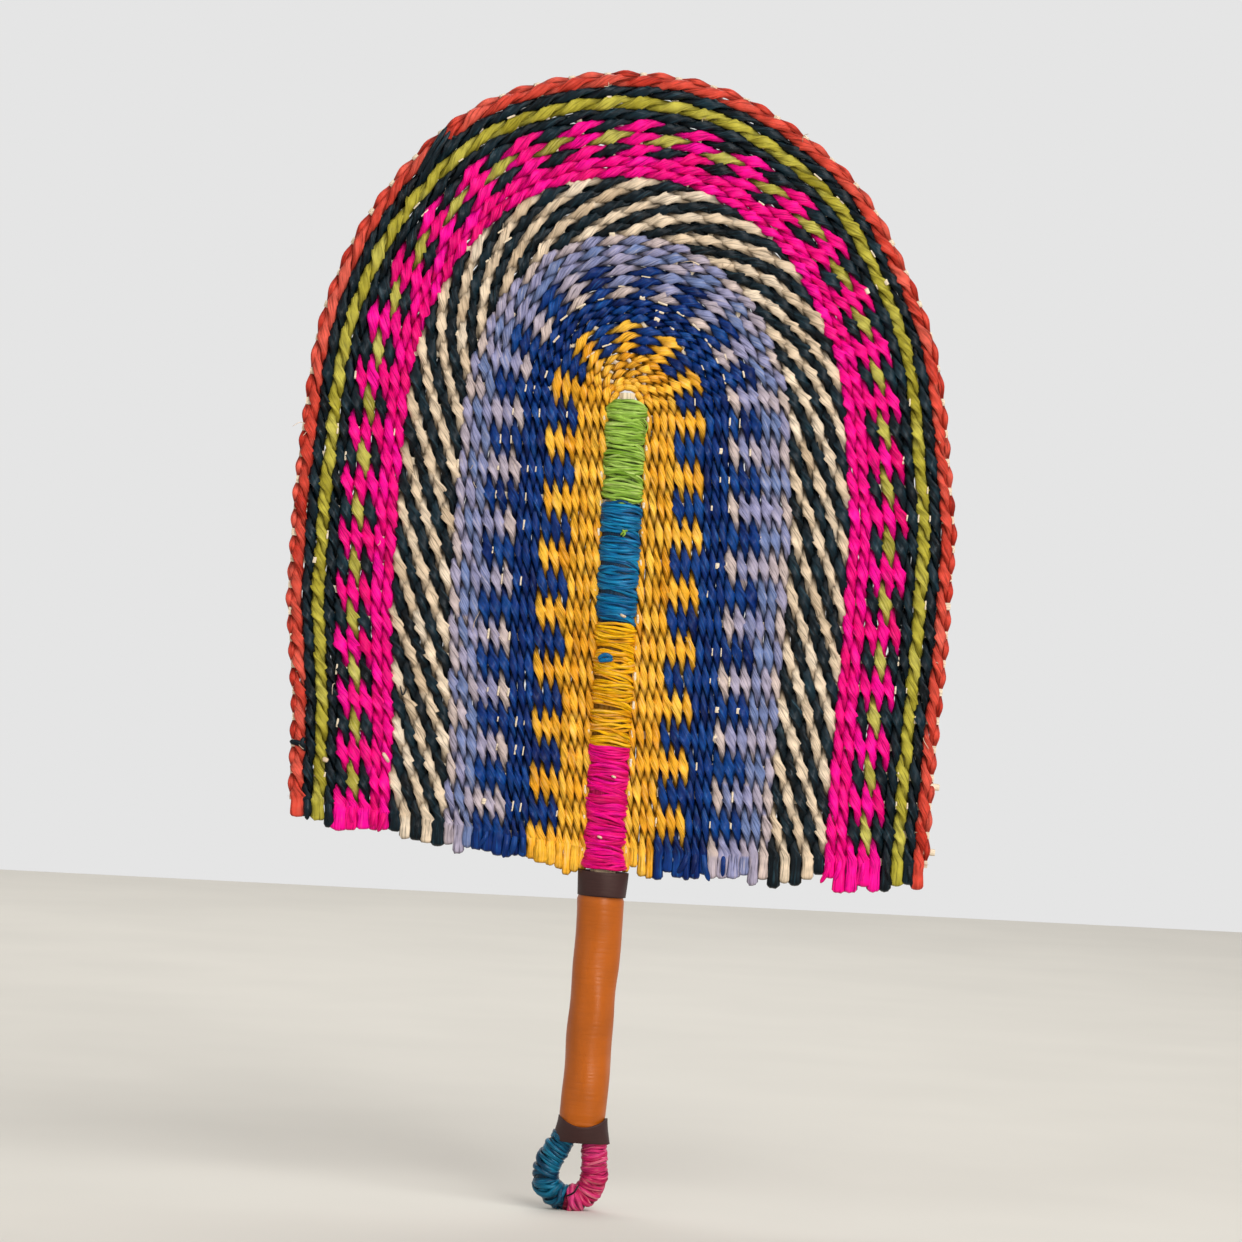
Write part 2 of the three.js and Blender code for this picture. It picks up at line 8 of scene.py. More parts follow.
import bpy
import numpy as np
from bpy.props import FloatProperty, FloatVectorProperty, IntProperty, PointerProperty
from mathutils import Matrix, Vector, noise

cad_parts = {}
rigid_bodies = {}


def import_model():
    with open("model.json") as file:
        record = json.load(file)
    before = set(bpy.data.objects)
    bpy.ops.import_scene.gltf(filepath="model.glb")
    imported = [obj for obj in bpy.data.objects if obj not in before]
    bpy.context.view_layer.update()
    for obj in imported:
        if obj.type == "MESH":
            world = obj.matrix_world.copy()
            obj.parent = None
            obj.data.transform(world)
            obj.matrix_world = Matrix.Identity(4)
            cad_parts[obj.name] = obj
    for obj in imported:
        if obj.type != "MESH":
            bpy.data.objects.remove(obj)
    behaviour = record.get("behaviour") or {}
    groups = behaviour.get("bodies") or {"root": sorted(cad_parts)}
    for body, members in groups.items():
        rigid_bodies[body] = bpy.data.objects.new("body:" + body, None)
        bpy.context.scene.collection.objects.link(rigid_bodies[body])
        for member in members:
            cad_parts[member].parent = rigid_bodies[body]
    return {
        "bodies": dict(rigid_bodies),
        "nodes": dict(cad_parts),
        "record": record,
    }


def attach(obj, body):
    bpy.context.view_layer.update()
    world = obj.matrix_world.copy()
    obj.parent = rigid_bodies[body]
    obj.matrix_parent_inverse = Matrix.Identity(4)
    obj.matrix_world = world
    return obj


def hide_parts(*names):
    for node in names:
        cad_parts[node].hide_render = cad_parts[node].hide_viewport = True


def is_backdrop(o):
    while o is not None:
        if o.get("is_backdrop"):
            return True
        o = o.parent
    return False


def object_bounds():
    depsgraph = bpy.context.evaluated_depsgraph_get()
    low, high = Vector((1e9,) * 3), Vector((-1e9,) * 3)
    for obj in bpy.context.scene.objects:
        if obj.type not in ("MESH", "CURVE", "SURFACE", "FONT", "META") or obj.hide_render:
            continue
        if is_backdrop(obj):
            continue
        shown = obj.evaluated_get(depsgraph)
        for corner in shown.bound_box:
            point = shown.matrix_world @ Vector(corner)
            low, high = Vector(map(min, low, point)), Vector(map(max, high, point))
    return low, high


bl_info = {
    "name": "Twined straw fan",
    "version": (1, 0, 0),
    "blender": (4, 5, 0),
    "location": "View3D > Sidebar > Straw fan",
    "description": "Twines, binds and dresses a straw hand fan around its frame",
    "category": "Object",
}

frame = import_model()

MM = 0.001
FRONT = np.array([0.0, -1.0, 0.0])
BACK = -FRONT
ROUND = 2 * math.pi
# Points of a CAD piece this near to its extreme belong to its end or its crest
END_REACH = 0.1 * MM
CREST_REACH = 0.05 * MM


def linear(code):
    """Linear RGB of an sRGB hex colour."""
    parts = [int(code[i:i + 2], 16) / 255 for i in (1, 3, 5)]
    return tuple(p / 12.92 if p <= 0.04045 else ((p + 0.055) / 1.055) ** 2.4 for p in parts)


def length(label, about, millimetres):
    return FloatProperty(name=label, description=about, unit="LENGTH", precision=5,
                         default=millimetres * MM)


def share(label, about, value):
    return FloatProperty(name=label, description=about, subtype="FACTOR", min=0, max=1,
                         default=value)


def colour(label, about, code):
    return FloatVectorProperty(name=label, description=about, subtype="COLOR", size=3,
                               min=0, max=1, default=linear(code))


# What the frame says

BODY = next(iter(frame["bodies"]))
GRIP_AXIS = np.array(frame["record"]["mounts"][0]["axis"])


def node_points(node):
    mesh = frame["nodes"][node].data
    points = np.empty(len(mesh.vertices) * 3)
    mesh.vertices.foreach_get("co", points)
    return points.reshape(-1, 3)


def handle_frame(points):
    """Places on the leaning handle: along its axis, and across it to the right."""
    along = points @ GRIP_AXIS
    across = points @ np.array([GRIP_AXIS[2], 0, -GRIP_AXIS[0]])
    return along, across


def on_handle(across, back, along):
    """World points from places on the handle: right of its axis, behind it and up it."""
    right = np.array([GRIP_AXIS[2], 0, -GRIP_AXIS[0]])
    return (np.multiply.outer(across, right) + np.multiply.outer(back, BACK)
            + np.multiply.outer(along, GRIP_AXIS))


SPINE_X, _, NECK_Z = handle_frame(node_points("neck_band"))[0].max() * GRIP_AXIS
STAKES = sorted(name for name in frame["nodes"] if name.startswith("cross_stake"))


def stake_end(name):
    """Heights of the points at a leg stake's level right end."""
    points = node_points(name)
    return points[points[:, 0] > points[:, 0].max() - END_REACH][:, 2]


STAKE_HEIGHTS = np.array([stake_end(name).mean() for name in STAKES])
STAKE_WIDTH = np.ptp(stake_end(STAKES[0]))
DOME_Z = STAKE_HEIGHTS[-1] + (STAKE_HEIGHTS[-1] - STAKE_HEIGHTS[-2]) / 2


# Sizes and colours that a user would change

class WeaveSizes(bpy.types.PropertyGroup):
    """How the straw is twined."""
    crest: length("Crest", "Middle of a strand where it passes a stake, from the fan's plane", 2.15)
    thickness: length("Straw thickness", "Thickness of a strand where it passes a stake", 2.1)
    breadth: share("Breadth", "Half a strand's width at a stake, as a share of its row", 0.56)
    swing: share("Swing", "A strand's swing from side to side, as a share of its row", 0.27)
    steep_swing: share("Steep swing", "The same in the cream and navy rows", 0.34)
    gather: share("Gather", "Half a strand's width between stakes, as a share of its row", 0.32)
    depth_between: length("Depth between stakes", "Half a strand's depth where two cross", 1.5)
    looseness: share("Looseness", "How unevenly the straw was split and pulled", 0.5)
    rings: IntProperty(name="Rings", description="Rings of points in each stitch", default=8)
    sides: IntProperty(name="Sides", description="Points in each ring", default=12)
    left_fold: length("Left folds", "How far a strand runs below its last stake", 9.6)
    right_fold: length("Right folds", "The same on the right half, which hangs lower", 10.6)
    rim_strand: length("Rim strand", "Width of the strand that laces the stake ends", 2.8)


class StakeSizes(bpy.types.PropertyGroup):
    """The split culms that fan out in the dome."""
    width: length("Culm width", "Width of a culm at the rim", 3.2)
    thickness: length("Culm thickness", "Thickness of a culm", 1.8)
    end: length("Culm end", "How far a culm runs past its last row's middle", 3.4)


class WindingSizes(bpy.types.PropertyGroup):
    """How the spine and the loop are bound."""
    spine_half_width: length("Spine half width", "Middle of the binding from the spine", 9.4)
    spine_half_depth: length("Spine half depth", "Middle of the binding from its plane", 6.5)
    spine_strand: length("Spine strand", "Width of one fine strand on the spine", 1.5)
    lay: share("Lay", "Distance between a turn's strands, as a share of the turn's pitch", 0.22)
    bundle_rise: length("Bundle rise", "How far a turn's middle strand stands proud", 0.35)
    crossing: share("Crossing", "How far strands stray over each other, as a share of the pitch",
                    0.22)
    turns_between_stakes: IntProperty(name="Turns", description="Turns between two stakes",
                                      default=4)
    spine_strands: IntProperty(name="Spine strands", description="Strands side by side in a turn",
                               default=5)
    loop_strands: IntProperty(name="Loop strands", description="The same on the loop", default=4)
    neck_half_width: length("Neck flare", "Half width of the binding over the neck band", 11.4)
    neck_flare: length("Flare height", "Height over which the binding widens to the neck", 11.0)
    loop_radius: length("Loop limb radius", "Middle of the loop's binding from its cane", 5.4)
    loop_strand: length("Loop strand", "Width of one strand on the loop", 1.9)
    loop_pitch: length("Loop pitch", "Distance between the loop's turns on its inner edge", 2.8)


class LeatherSizes(bpy.types.PropertyGroup):
    """The grip's leather."""
    band_thickness: length("Band thickness", "Thickness of the dark bands", 1.1)
    wobble: length("Unevenness", "How far the leather strays from round", 0.42)
    seam_depth: length("Seam depth", "Depth of the butted seam down the back", 0.35)


class FanColours(bpy.types.PropertyGroup):
    """Dyes of the straw, the woods, the leathers and the stage."""
    golden: colour("Golden", "Turmeric-yellow straw", "#F2AE2A")
    royal_blue: colour("Royal blue", "Indigo-blue straw", "#02286C")
    lavender: colour("Lavender", "Washed lavender straw", "#908EB1")
    periwinkle: colour("Periwinkle", "Bluer lavender straw", "#697AA6")
    rose_beige: colour("Rose beige", "Pinkish undyed straw", "#C4B1AC")
    cream: colour("Cream", "Bare straw", "#E0C8AA")
    navy: colour("Navy", "Blue-black straw", "#03121A")
    magenta: colour("Magenta", "Hot pink straw", "#FC0088")
    lime: colour("Lime", "Yellow-green straw", "#B2A638")
    olive: colour("Olive", "Dull lime straw", "#B6AC48")
    coral: colour("Coral", "Orange-red straw", "#D44837")
    wrap_magenta: colour("Binding magenta", "Lowest binding", "#E60076")
    wrap_gold: colour("Binding gold", "Second binding", "#EBA502")
    wrap_teal: colour("Binding teal", "Third binding", "#026496")
    wrap_green: colour("Binding green", "Top binding", "#92B844")
    loop_teal: colour("Loop teal", "Left half of the loop", "#024A68")
    loop_pink: colour("Loop pink", "Right half of the loop", "#C4245F")
    culm: colour("Culm", "Split grass stakes", "#E0CDB0")
    peeled_wood: colour("Peeled wood", "The spine's bare tip", "#E3CFAC")
    cane: colour("Cane", "Bent cane in the loop", "#C9A877")
    tan_leather: colour("Tan leather", "The grip", "#A85205")
    dark_leather: colour("Dark leather", "The two bands", "#2E1517")
    floor: colour("Floor", "The stage's floor", "#D7D2C8")
    wall: colour("Backdrop", "What is seen behind the floor", "#E5E5E5")


class StageSizes(bpy.types.PropertyGroup):
    """Camera, floor and light."""
    camera_distance: length("Camera distance", "From the fan's plane", 1800)
    camera_height: FloatProperty(name="Camera height", description="Above the horizontal",
                                 subtype="ANGLE", default=math.radians(-1.0))
    photo_width: length("Width in view", "Width that the picture covers at the fan", 602.4)
    lean: FloatProperty(name="Lean", description="The picture's roll", subtype="ANGLE",
                        default=math.radians(2.9))
    aim_rise: length("Aim", "How far above the fan's middle the camera aims", 9.5)
    floor_back: length("Floor behind", "How far the floor runs behind the fan", 2600)
    key_power: FloatProperty(name="Key light", description="Watts", subtype="POWER", default=124)
    glint_power: FloatProperty(name="Small light", description="Watts", subtype="POWER", default=2)
    fill_power: FloatProperty(name="Fill light", description="Watts", subtype="POWER", default=15)
    floor_power: FloatProperty(name="Floor light", description="Watts", subtype="POWER", default=32)
    sky: FloatProperty(name="Sky", description="Strength of the even light", default=0.36)


# Meshes of swept strands

class Bundle:
    """Strands gathered into one mesh, with a tone for each stitch and grain coordinates."""

    def __init__(self):
        self.points, self.faces, self.grain, self.slots = [], [], [], []
        self.tones, self.open = [], []
        self.count = 0

    def add(self, rings, tones, dyes, closed=False, start=0.0, openness=1.0):
        """Skins rings of points, an array of ring by side by 3, and caps it where it ends."""
        turns, sides = rings.shape[:2]
        spans = turns if closed else turns - 1
        ring = np.repeat(np.arange(spans), sides)
        side = np.tile(np.arange(sides), spans)
        after, beside = (ring + 1) % turns, (side + 1) % sides
        quads = np.stack([ring * sides + side, ring * sides + beside,
                          after * sides + beside, after * sides + side], axis=1)
        middles = rings.mean(axis=1)
        steps = np.linalg.norm(np.diff(middles, axis=0, append=middles[:1]), axis=1)
        along = start + np.concatenate([[0], np.cumsum(steps)])
        edge = rings[turns // 2]
        girth = np.linalg.norm(edge - np.roll(edge, -1, axis=0), axis=1).sum()
        over = np.arange(sides + 1) / sides * girth
        grain = np.stack([
            np.stack([over[side], along[ring]], axis=1),
            np.stack([over[side + 1], along[ring]], axis=1),
            np.stack([over[side + 1], along[ring + 1]], axis=1),
            np.stack([over[side], along[ring + 1]], axis=1),
        ], axis=1)
        self.faces.extend((quads + self.count).tolist())
        self.grain.append(grain.reshape(-1, 2))
        dyes = np.broadcast_to(dyes, turns)
        self.slots.append(dyes[ring])
        if not closed:
            last = (turns - 1) * sides
            caps = [list(range(sides))[::-1], list(range(last, last + sides))]
            self.faces.extend([[self.count + i for i in cap] for cap in caps])
            self.grain.append(np.zeros((2 * sides, 2)) + [0, start])
            self.slots.append(dyes[[0, -1]])
        self.points.append(rings.reshape(-1, 3))
        self.tones.append(np.repeat(np.broadcast_to(tones, turns), sides))
        self.open.append(np.broadcast_to(openness, (turns, sides)).ravel())
        self.count += turns * sides

    def finish(self, name, materials):
        """Makes the object and gives it its dyes."""
        mesh = bpy.data.meshes.new(name)
        mesh.from_pydata(np.concatenate(self.points), [], self.faces)
        uv = mesh.uv_layers.new(name="grain")
        uv.data.foreach_set("uv", np.concatenate(self.grain).ravel())
        for key, values in (("tone", self.tones), ("openness", self.open)):
            attribute = mesh.attributes.new(key, "FLOAT", "POINT")
            attribute.data.foreach_set("value", np.concatenate(values))
        for material in materials:
            mesh.materials.append(material)
        mesh.polygons.foreach_set("material_index", np.concatenate(self.slots).astype(np.int32))
        mesh.polygons.foreach_set("use_smooth", np.ones(len(mesh.polygons), dtype=bool))
        mesh.validate()
        piece = bpy.data.objects.new(name, mesh)
        bpy.context.scene.collection.objects.link(piece)
        return piece


def dress(piece, node=None):
    """Rides the piece on the fan's one body, and hides the node it stands for."""
    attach(piece, BODY)
    if node:
        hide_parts(node)


def squared(wave, squareness):
    """A wave made fuller, so that a round section nears an oblong one."""
    return np.sign(wave) * np.abs(wave) ** squareness


STRAND_SQUARENESS = 0.82


def section(sides):
    """A unit section between an ellipse and a rounded oblong: places across and through."""
    angle = np.arange(sides) / sides * ROUND
    return squared(np.cos(angle), STRAND_SQUARENESS), squared(np.sin(angle), STRAND_SQUARENESS)


# Openness sets painted shade: a wound strand's edges are painted darker than its outer side
# A wound strand's openness halfway round its section, and how much more its outer side has
EDGE_OPENNESS = 0.15
OUTER_OPENNESS = 0.9


def outer_side(sides):
    """How open each point of a wound strand's section is, which sets its painted shade: its outer
    side is, its edges aren't.
    """
    return np.clip(EDGE_OPENNESS + OUTER_OPENNESS * section(sides)[1], 0, 1)


def read_off(places, known, table):
    """Each column of a table at places between its known ones."""
    return np.stack([np.interp(places, known, column) for column in table.T], axis=1)


def sweep(centres, across, through, half_width, half_thick, sides, ridges=1.0):
    """Rings of a flattened strand about its middle line."""
    over, into = section(sides)
    wide = (np.asarray(half_width) * np.ones(len(centres)))[:, None] * over * ridges
    thick = (np.asarray(half_thick) * np.ones(len(centres)))[:, None] * into * ridges
    return (centres[:, None] + wide[..., None] * across[:, None]
            + thick[..., None] * through[:, None])


def smooth_through(points, steps):
    """A cubic curve through points however far apart, as many steps between each two."""
    points = np.asarray(points, dtype=float)
    moves = np.diff(points, axis=0)
    spans = np.linalg.norm(moves, axis=1)[:, None]
    slopes = moves / spans
    between = (slopes[:-1] * spans[1:] + slopes[1:] * spans[:-1]) / (spans[:-1] + spans[1:])
    headings = np.concatenate([slopes[:1], between, slopes[-1:]])
    t = np.arange(len(moves) * steps + 1) / steps
    span = np.minimum(t.astype(int), len(moves) - 1)
    f = (t - span)[:, None]
    leave, arrive = headings[span] * spans[span], headings[span + 1] * spans[span]
    return (points[span] + moves[span] * (3 * f ** 2 - 2 * f ** 3)
            + leave * (f - 2 * f ** 2 + f ** 3) + arrive * (f ** 3 - f ** 2))


def unit(vectors):
    return vectors / np.linalg.norm(vectors, axis=-1, keepdims=True)


def short_strand(bundle, points, width, thick, tone, dye, facing=FRONT, steps=6, sides=8,
                 tip=0.25):
    """A free length of straw through a few points, drawn in at both ends."""
    centres = smooth_through(points, steps)
    tangent = unit(np.gradient(centres, axis=0))
    across = unit(np.cross(tangent, facing))
    through = np.cross(across, tangent)
    t = np.linspace(0, 1, len(centres))
    taper = tip + (1 - tip) * np.sqrt(np.clip(1 - np.abs(2 * t - 1) ** 4, 0, 1))
    rings = sweep(centres, across, through, taper * width / 2, taper * thick / 2, sides)
    bundle.add(rings, tone, dye)


# Materials

def node(tree, kind, settings=None, stops=(), **links):
    """Adds a node. Stops are a colour ramp's places and linear colours. Links name input
    sockets, and hold an output socket or a value."""
    made = tree.nodes.new(kind)
    for key, value in (settings or {}).items():
        setattr(made, key, value)
    for number, (place, rgb) in enumerate(stops):
        elements = made.color_ramp.elements
        element = elements[number] if number < len(elements) else elements.new(place)
        element.position = place
        element.color = (*rgb, 1)
    for key, value in links.items():
        socket = made.inputs[int(key[1:]) if key[1:].isdigit() else key.replace("_", " ")]
        if isinstance(value, bpy.types.NodeSocket):
            tree.links.new(value, socket)
        else:
            socket.default_value = value
    return made


def new_material(name):
    material = bpy.data.materials.new(name)
    material.use_nodes = True
    tree = material.node_tree
    tree.nodes.clear()
    shader = node(tree, "ShaderNodeBsdfPrincipled")
    node(tree, "ShaderNodeOutputMaterial", Surface=shader.outputs["BSDF"])
    return material, tree, shader


def darker(rgb, by):
    return tuple(c * by for c in rgb)


def dyed_again(rgb, times):
    """The colour that more or less of the same dye gives, as light passes more or less of it."""
    return tuple(c ** times for c in rgb)


def blend_colours(one, other, part):
    return tuple(a * (1 - part) + b * part for a, b in zip(one, other))


FIBRE_WIDTH = 0.8 * MM
FIBRE_LENGTH = 15 * MM
BLOTCH = 6 * MM


MIXED = {"data_type": "RGBA"}
MULTIPLIED = {"data_type": "RGBA", "blend_type": "MULTIPLY"}
FLAT = {"noise_dimensions": "2D"}


def dyed_straw(name, deep, middle, pale, bare, roughness, shine, painted_gap_shade):
    """Split grass straw, dyed in a pot, twisted damp and dried: satin, with lengthwise fibres
    that took the dye unevenly; in the inky dyes the lighter fibres are a painted glint. Shade
    between strands is painted in: where openness is low only a given share of the colour is left."""
    material, tree, shader = new_material(name)
    tone = node(tree, "ShaderNodeAttribute", {"attribute_name": "tone"}).outputs["Fac"]
    opened = node(tree, "ShaderNodeAttribute", {"attribute_name": "openness"}).outputs["Fac"]
    grain = node(tree, "ShaderNodeUVMap", {"uv_map": "grain"}).outputs["UV"]
    # fibres are narrow across the strand and long along it; they are drawn in bundles of a
    # few, since single fibres are too fine for a picture of the whole fan
    scale = (1 / FIBRE_WIDTH, 1 / FIBRE_LENGTH, 1)
    stretched = node(tree, "ShaderNodeMapping", Vector=grain, Scale=scale).outputs[0]
    fibres = node(tree, "ShaderNodeTexNoise", FLAT, Vector=stretched,
                  Scale=1.0, Detail=3.0, Roughness=0.65).outputs["Fac"]
    cloud = node(tree, "ShaderNodeTexNoise", FLAT, Vector=grain,
                 Scale=1 / BLOTCH, Detail=2.0).outputs["Fac"]
    dyed = node(tree, "ShaderNodeValToRGB", stops=[(0, deep), (0.5, middle), (1, pale)],
                i0=tone).outputs[0]
    streaks = node(tree, "ShaderNodeMapRange", Value=fibres, From_Min=0.3, From_Max=0.5,
                   To_Min=0.36, To_Max=1.0).outputs[0]
    streaked = node(tree, "ShaderNodeMix", MULTIPLIED, i0=1.0, i6=dyed, i7=streaks).outputs[2]
    # fibres mixed with the fleck colour: bare straw in most dyes, a painted glint in the inky ones
    fleck_or_glint_part = node(tree, "ShaderNodeMapRange", Value=fibres, From_Min=0.54, From_Max=0.76,
                     To_Min=0.0, To_Max=0.55).outputs[0]
    flecked_or_glinting = node(tree, "ShaderNodeMix", MIXED, i0=fleck_or_glint_part, i6=streaked,
                   i7=(*bare, 1)).outputs[2]
    patches = node(tree, "ShaderNodeMapRange", Value=cloud, From_Min=0.3, From_Max=0.7,
                   To_Min=0.8, To_Max=1.12).outputs[0]
    uneven = node(tree, "ShaderNodeMix", MULTIPLIED, i0=1.0, i6=flecked_or_glinting, i7=patches).outputs[2]
    # painted shade: darker, down to the given share, where the openness attribute is low between
    # strands
    light = node(tree, "ShaderNodeMapRange", Value=opened, From_Min=0.15, From_Max=0.85,
                 To_Min=painted_gap_shade, To_Max=1.0).outputs[0]
    shaded = node(tree, "ShaderNodeMix", MULTIPLIED, i0=1.0, i6=uneven, i7=light).outputs[2]
    tree.links.new(shaded, shader.inputs["Base Color"])
    gloss = node(tree, "ShaderNodeMapRange", Value=fibres, From_Min=0.3, From_Max=0.7,
                 To_Min=roughness + 0.1, To_Max=roughness - 0.08)
    tree.links.new(gloss.outputs[0], shader.inputs["Roughness"])
    bump = node(tree, "ShaderNodeBump", Height=fibres, Strength=0.9, Distance=0.3 * MM)
    tree.links.new(bump.outputs[0], shader.inputs["Normal"])
    shader.inputs["IOR"].default_value = 1.4
    shader.inputs["Specular IOR Level"].default_value = shine
    shader.inputs["Specular Tint"].default_value = (*blend_colours((1, 1, 1), pale, 0.5), 1)
    return material


PORE_WIDTH = 0.35 * MM
PORE_LENGTH = 9 * MM


def grown_wood(name, rgb, direction):
    """Bare culm, peeled stick or cane: matt, pale, with fine pores drawn out along its growth."""
    material, tree, shader = new_material(name)
    place = node(tree, "ShaderNodeTexCoord").outputs["Object"]
    scale = tuple(1 / (PORE_LENGTH if axis == direction else PORE_WIDTH) for axis in range(3))
    stretched = node(tree, "ShaderNodeMapping", Vector=place, Scale=scale).outputs[0]
    pores = node(tree, "ShaderNodeTexNoise", Vector=stretched, Scale=1.0, Detail=3.0).outputs["Fac"]
    stops = [(0.3, darker(rgb, 0.62)), (0.5, rgb), (0.75, darker(rgb, 1.08))]
    final = node(tree, "ShaderNodeValToRGB", stops=stops, i0=pores)
    tree.links.new(final.outputs[0], shader.inputs["Base Color"])
    bump = node(tree, "ShaderNodeBump", Height=pores, Strength=0.35, Distance=0.1 * MM)
    tree.links.new(bump.outputs[0], shader.inputs["Normal"])
    shader.inputs["Roughness"].default_value = 0.6
    return material


WRINKLE_WIDTH = 1.4 * MM
WRINKLE_LENGTH = 14 * MM
PEBBLE = 0.5 * MM
HANDLING = 20 * MM


def leather(name, rgb, roughness):
    """Vegetable-tanned hide, stretched on wet round the stick: smooth and softly shining, with
    faint wrinkles across it, a fine pebbled grain and cloudy colour where hands polish it."""
    material, tree, shader = new_material(name)
    grain = node(tree, "ShaderNodeUVMap", {"uv_map": "grain"}).outputs["UV"]
    drawn = node(tree, "ShaderNodeMapping", Vector=grain,
                 Scale=(1 / WRINKLE_LENGTH, 1 / WRINKLE_WIDTH, 1))
    wrinkles = node(tree, "ShaderNodeTexNoise", FLAT, Vector=drawn.outputs[0], Scale=1.0,
                    Detail=2.0).outputs["Fac"]
    cloud = node(tree, "ShaderNodeTexNoise", FLAT, Vector=grain,
                 Scale=1 / HANDLING, Detail=2.0).outputs["Fac"]
    cells = node(tree, "ShaderNodeTexVoronoi", {"feature": "DISTANCE_TO_EDGE"}, Vector=grain,
                 Scale=1 / PEBBLE).outputs["Distance"]
    stops = [(0.3, darker(rgb, 0.9)), (0.5, rgb), (0.7, darker(rgb, 1.07))]
    base = node(tree, "ShaderNodeValToRGB", stops=stops, i0=cloud).outputs[0]
    shade = node(tree, "ShaderNodeMapRange", Value=wrinkles, From_Min=0.25, From_Max=0.5,
                 To_Min=0.94, To_Max=1.0).outputs[0]
    final = node(tree, "ShaderNodeMix", MULTIPLIED, i0=1.0, i6=base, i7=shade)
    tree.links.new(final.outputs[2], shader.inputs["Base Color"])
    shine = node(tree, "ShaderNodeMapRange", Value=cloud, From_Min=0.3, From_Max=0.7,
                 To_Min=roughness + 0.06, To_Max=roughness - 0.06)
    tree.links.new(shine.outputs[0], shader.inputs["Roughness"])
    coarse = node(tree, "ShaderNodeBump", Height=wrinkles, Strength=0.5, Distance=0.24 * MM)
    fine = node(tree, "ShaderNodeBump", Height=cells, Strength=0.15, Distance=0.06 * MM,
                Normal=coarse.outputs[0])
    tree.links.new(fine.outputs[0], shader.inputs["Normal"])
    shader.inputs["IOR"].default_value = 1.42
    shader.inputs["Specular IOR Level"].default_value = 0.5
    shader.inputs["Specular Tint"].default_value = (1.0, 0.84, 0.7, 1.0)
    return material


STRAWS = {}
# Straws whose deep or pale stitches lean to another dye, with how far they do
LEANINGS = {
    "lavender": ("periwinkle", 0.9, "rose_beige", 0.9),
    "periwinkle": ("periwinkle", 0.4, "lavender", 0.6),
    "rose_beige": ("lavender", 0.7, "cream", 0.25),
}
# Dyes that are near black in the shade and glossy in the light; their flecks are a painted glint, a
# lighter shade of their own dye
INKY = ("navy", "royal_blue", "wrap_teal", "loop_teal")
# Dyes so bright that the painted shade between their strands is kept light, as the light there is
# coloured by them
VIVID_DYES_LIGHTLY_SHADED = ("magenta", "lime", "coral", "wrap_magenta")


def straw(context, dye):
    """The material of one dye, made once."""
    if dye not in STRAWS:
        colours = context.scene.fan_colours
        rgb, bare = tuple(getattr(colours, dye)), tuple(colours.cream)
        deep, pale = darker(dyed_again(rgb, 1.22), 0.8), dyed_again(rgb, 0.8)
        # the flecks: a painted glint of lighter dye for inky dyes, bare straw mixed in for the
        # others
        fleck_or_painted_glint = dyed_again(rgb, 0.5) if dye in INKY else blend_colours(pale, bare, 0.6)
        if dye in VIVID_DYES_LIGHTLY_SHADED:
            fleck_or_painted_glint = blend_colours(rgb, bare, 0.1)
        roughness, shine = (0.26, 0.42) if dye in INKY else (0.4, 0.25)
        # share of the colour left in the painted shade between strands
        painted_gap_shade = 0.6 if dye in VIVID_DYES_LIGHTLY_SHADED else 0.22
        if dye in LEANINGS:
            low, low_part, high, high_part = LEANINGS[dye]
            deep = blend_colours(rgb, tuple(getattr(colours, low)), low_part)
            pale = blend_colours(rgb, tuple(getattr(colours, high)), high_part)
        STRAWS[dye] = dyed_straw(f"{dye}_dyed_straw", deep, rgb, pale, fleck_or_painted_glint, roughness, shine,
                                 painted_gap_shade)
    return STRAWS[dye]


# The rows of twining

def crest_line(name):
    """A row's middle line seen from the front, clockwise from its left foot."""
    points = node_points(name)
    crest = points[points[:, 1] < points[:, 1].min() + CREST_REACH][:, [0, 2]]
    crest = np.unique(np.round(crest, 6), axis=0)
    below = crest[:, 1].min() - 10 * MM
    turn = np.arctan2(crest[:, 1] - below, SPINE_X - crest[:, 0])
    return crest[np.argsort(turn)]


class ArchPath:
    """A row's line as a smooth curve measured along its length."""
    LEG_SPANS = 4
    DOME_SPANS = 12
    STEPS = 24

    def __init__(self, crest, inset=0.0):
        # the legs are straight between the frame's stations, so they are cut into quarters
        whole = 2 * self.LEG_SPANS + self.DOME_SPANS
        leg = np.arange(4 * self.LEG_SPANS + 1) / 4
        dome = np.arange(self.LEG_SPANS + 1, whole - self.LEG_SPANS)
        knots = np.concatenate([leg, dome, whole - leg[::-1]])
        known = np.arange(len(crest))
        self.places = smooth_through(read_off(knots, known, crest), self.STEPS)
        steps = np.arange(len(self.places)) / self.STEPS
        self.stations = np.interp(steps, np.arange(len(knots)), knots)
        steps = np.linalg.norm(np.diff(self.places, axis=0), axis=1)
        self.lengths = np.concatenate([[0], np.cumsum(steps)])
        self.tangents = unit(np.gradient(self.places, axis=0))
        self.places += inset * np.stack([self.tangents[:, 1], -self.tangents[:, 0]], axis=1)

    def length_at(self, station):
        return np.interp(station, self.stations, self.lengths)

    def at(self, lengths):
        """Places and tangents at lengths, which run straight on past both feet."""
        inside = np.clip(lengths, 0, self.lengths[-1])
        beyond = (lengths - inside)[:, None]
        tangent = unit(read_off(inside, self.lengths, self.tangents))
        return read_off(inside, self.lengths, self.places) + tangent * beyond, tangent


STAKES_PER_LEG = len(STAKES)
# The hub's stakes are turned clockwise by this share of their spacing
HUB_CROWN = 10
HUB_TURN = 0.28


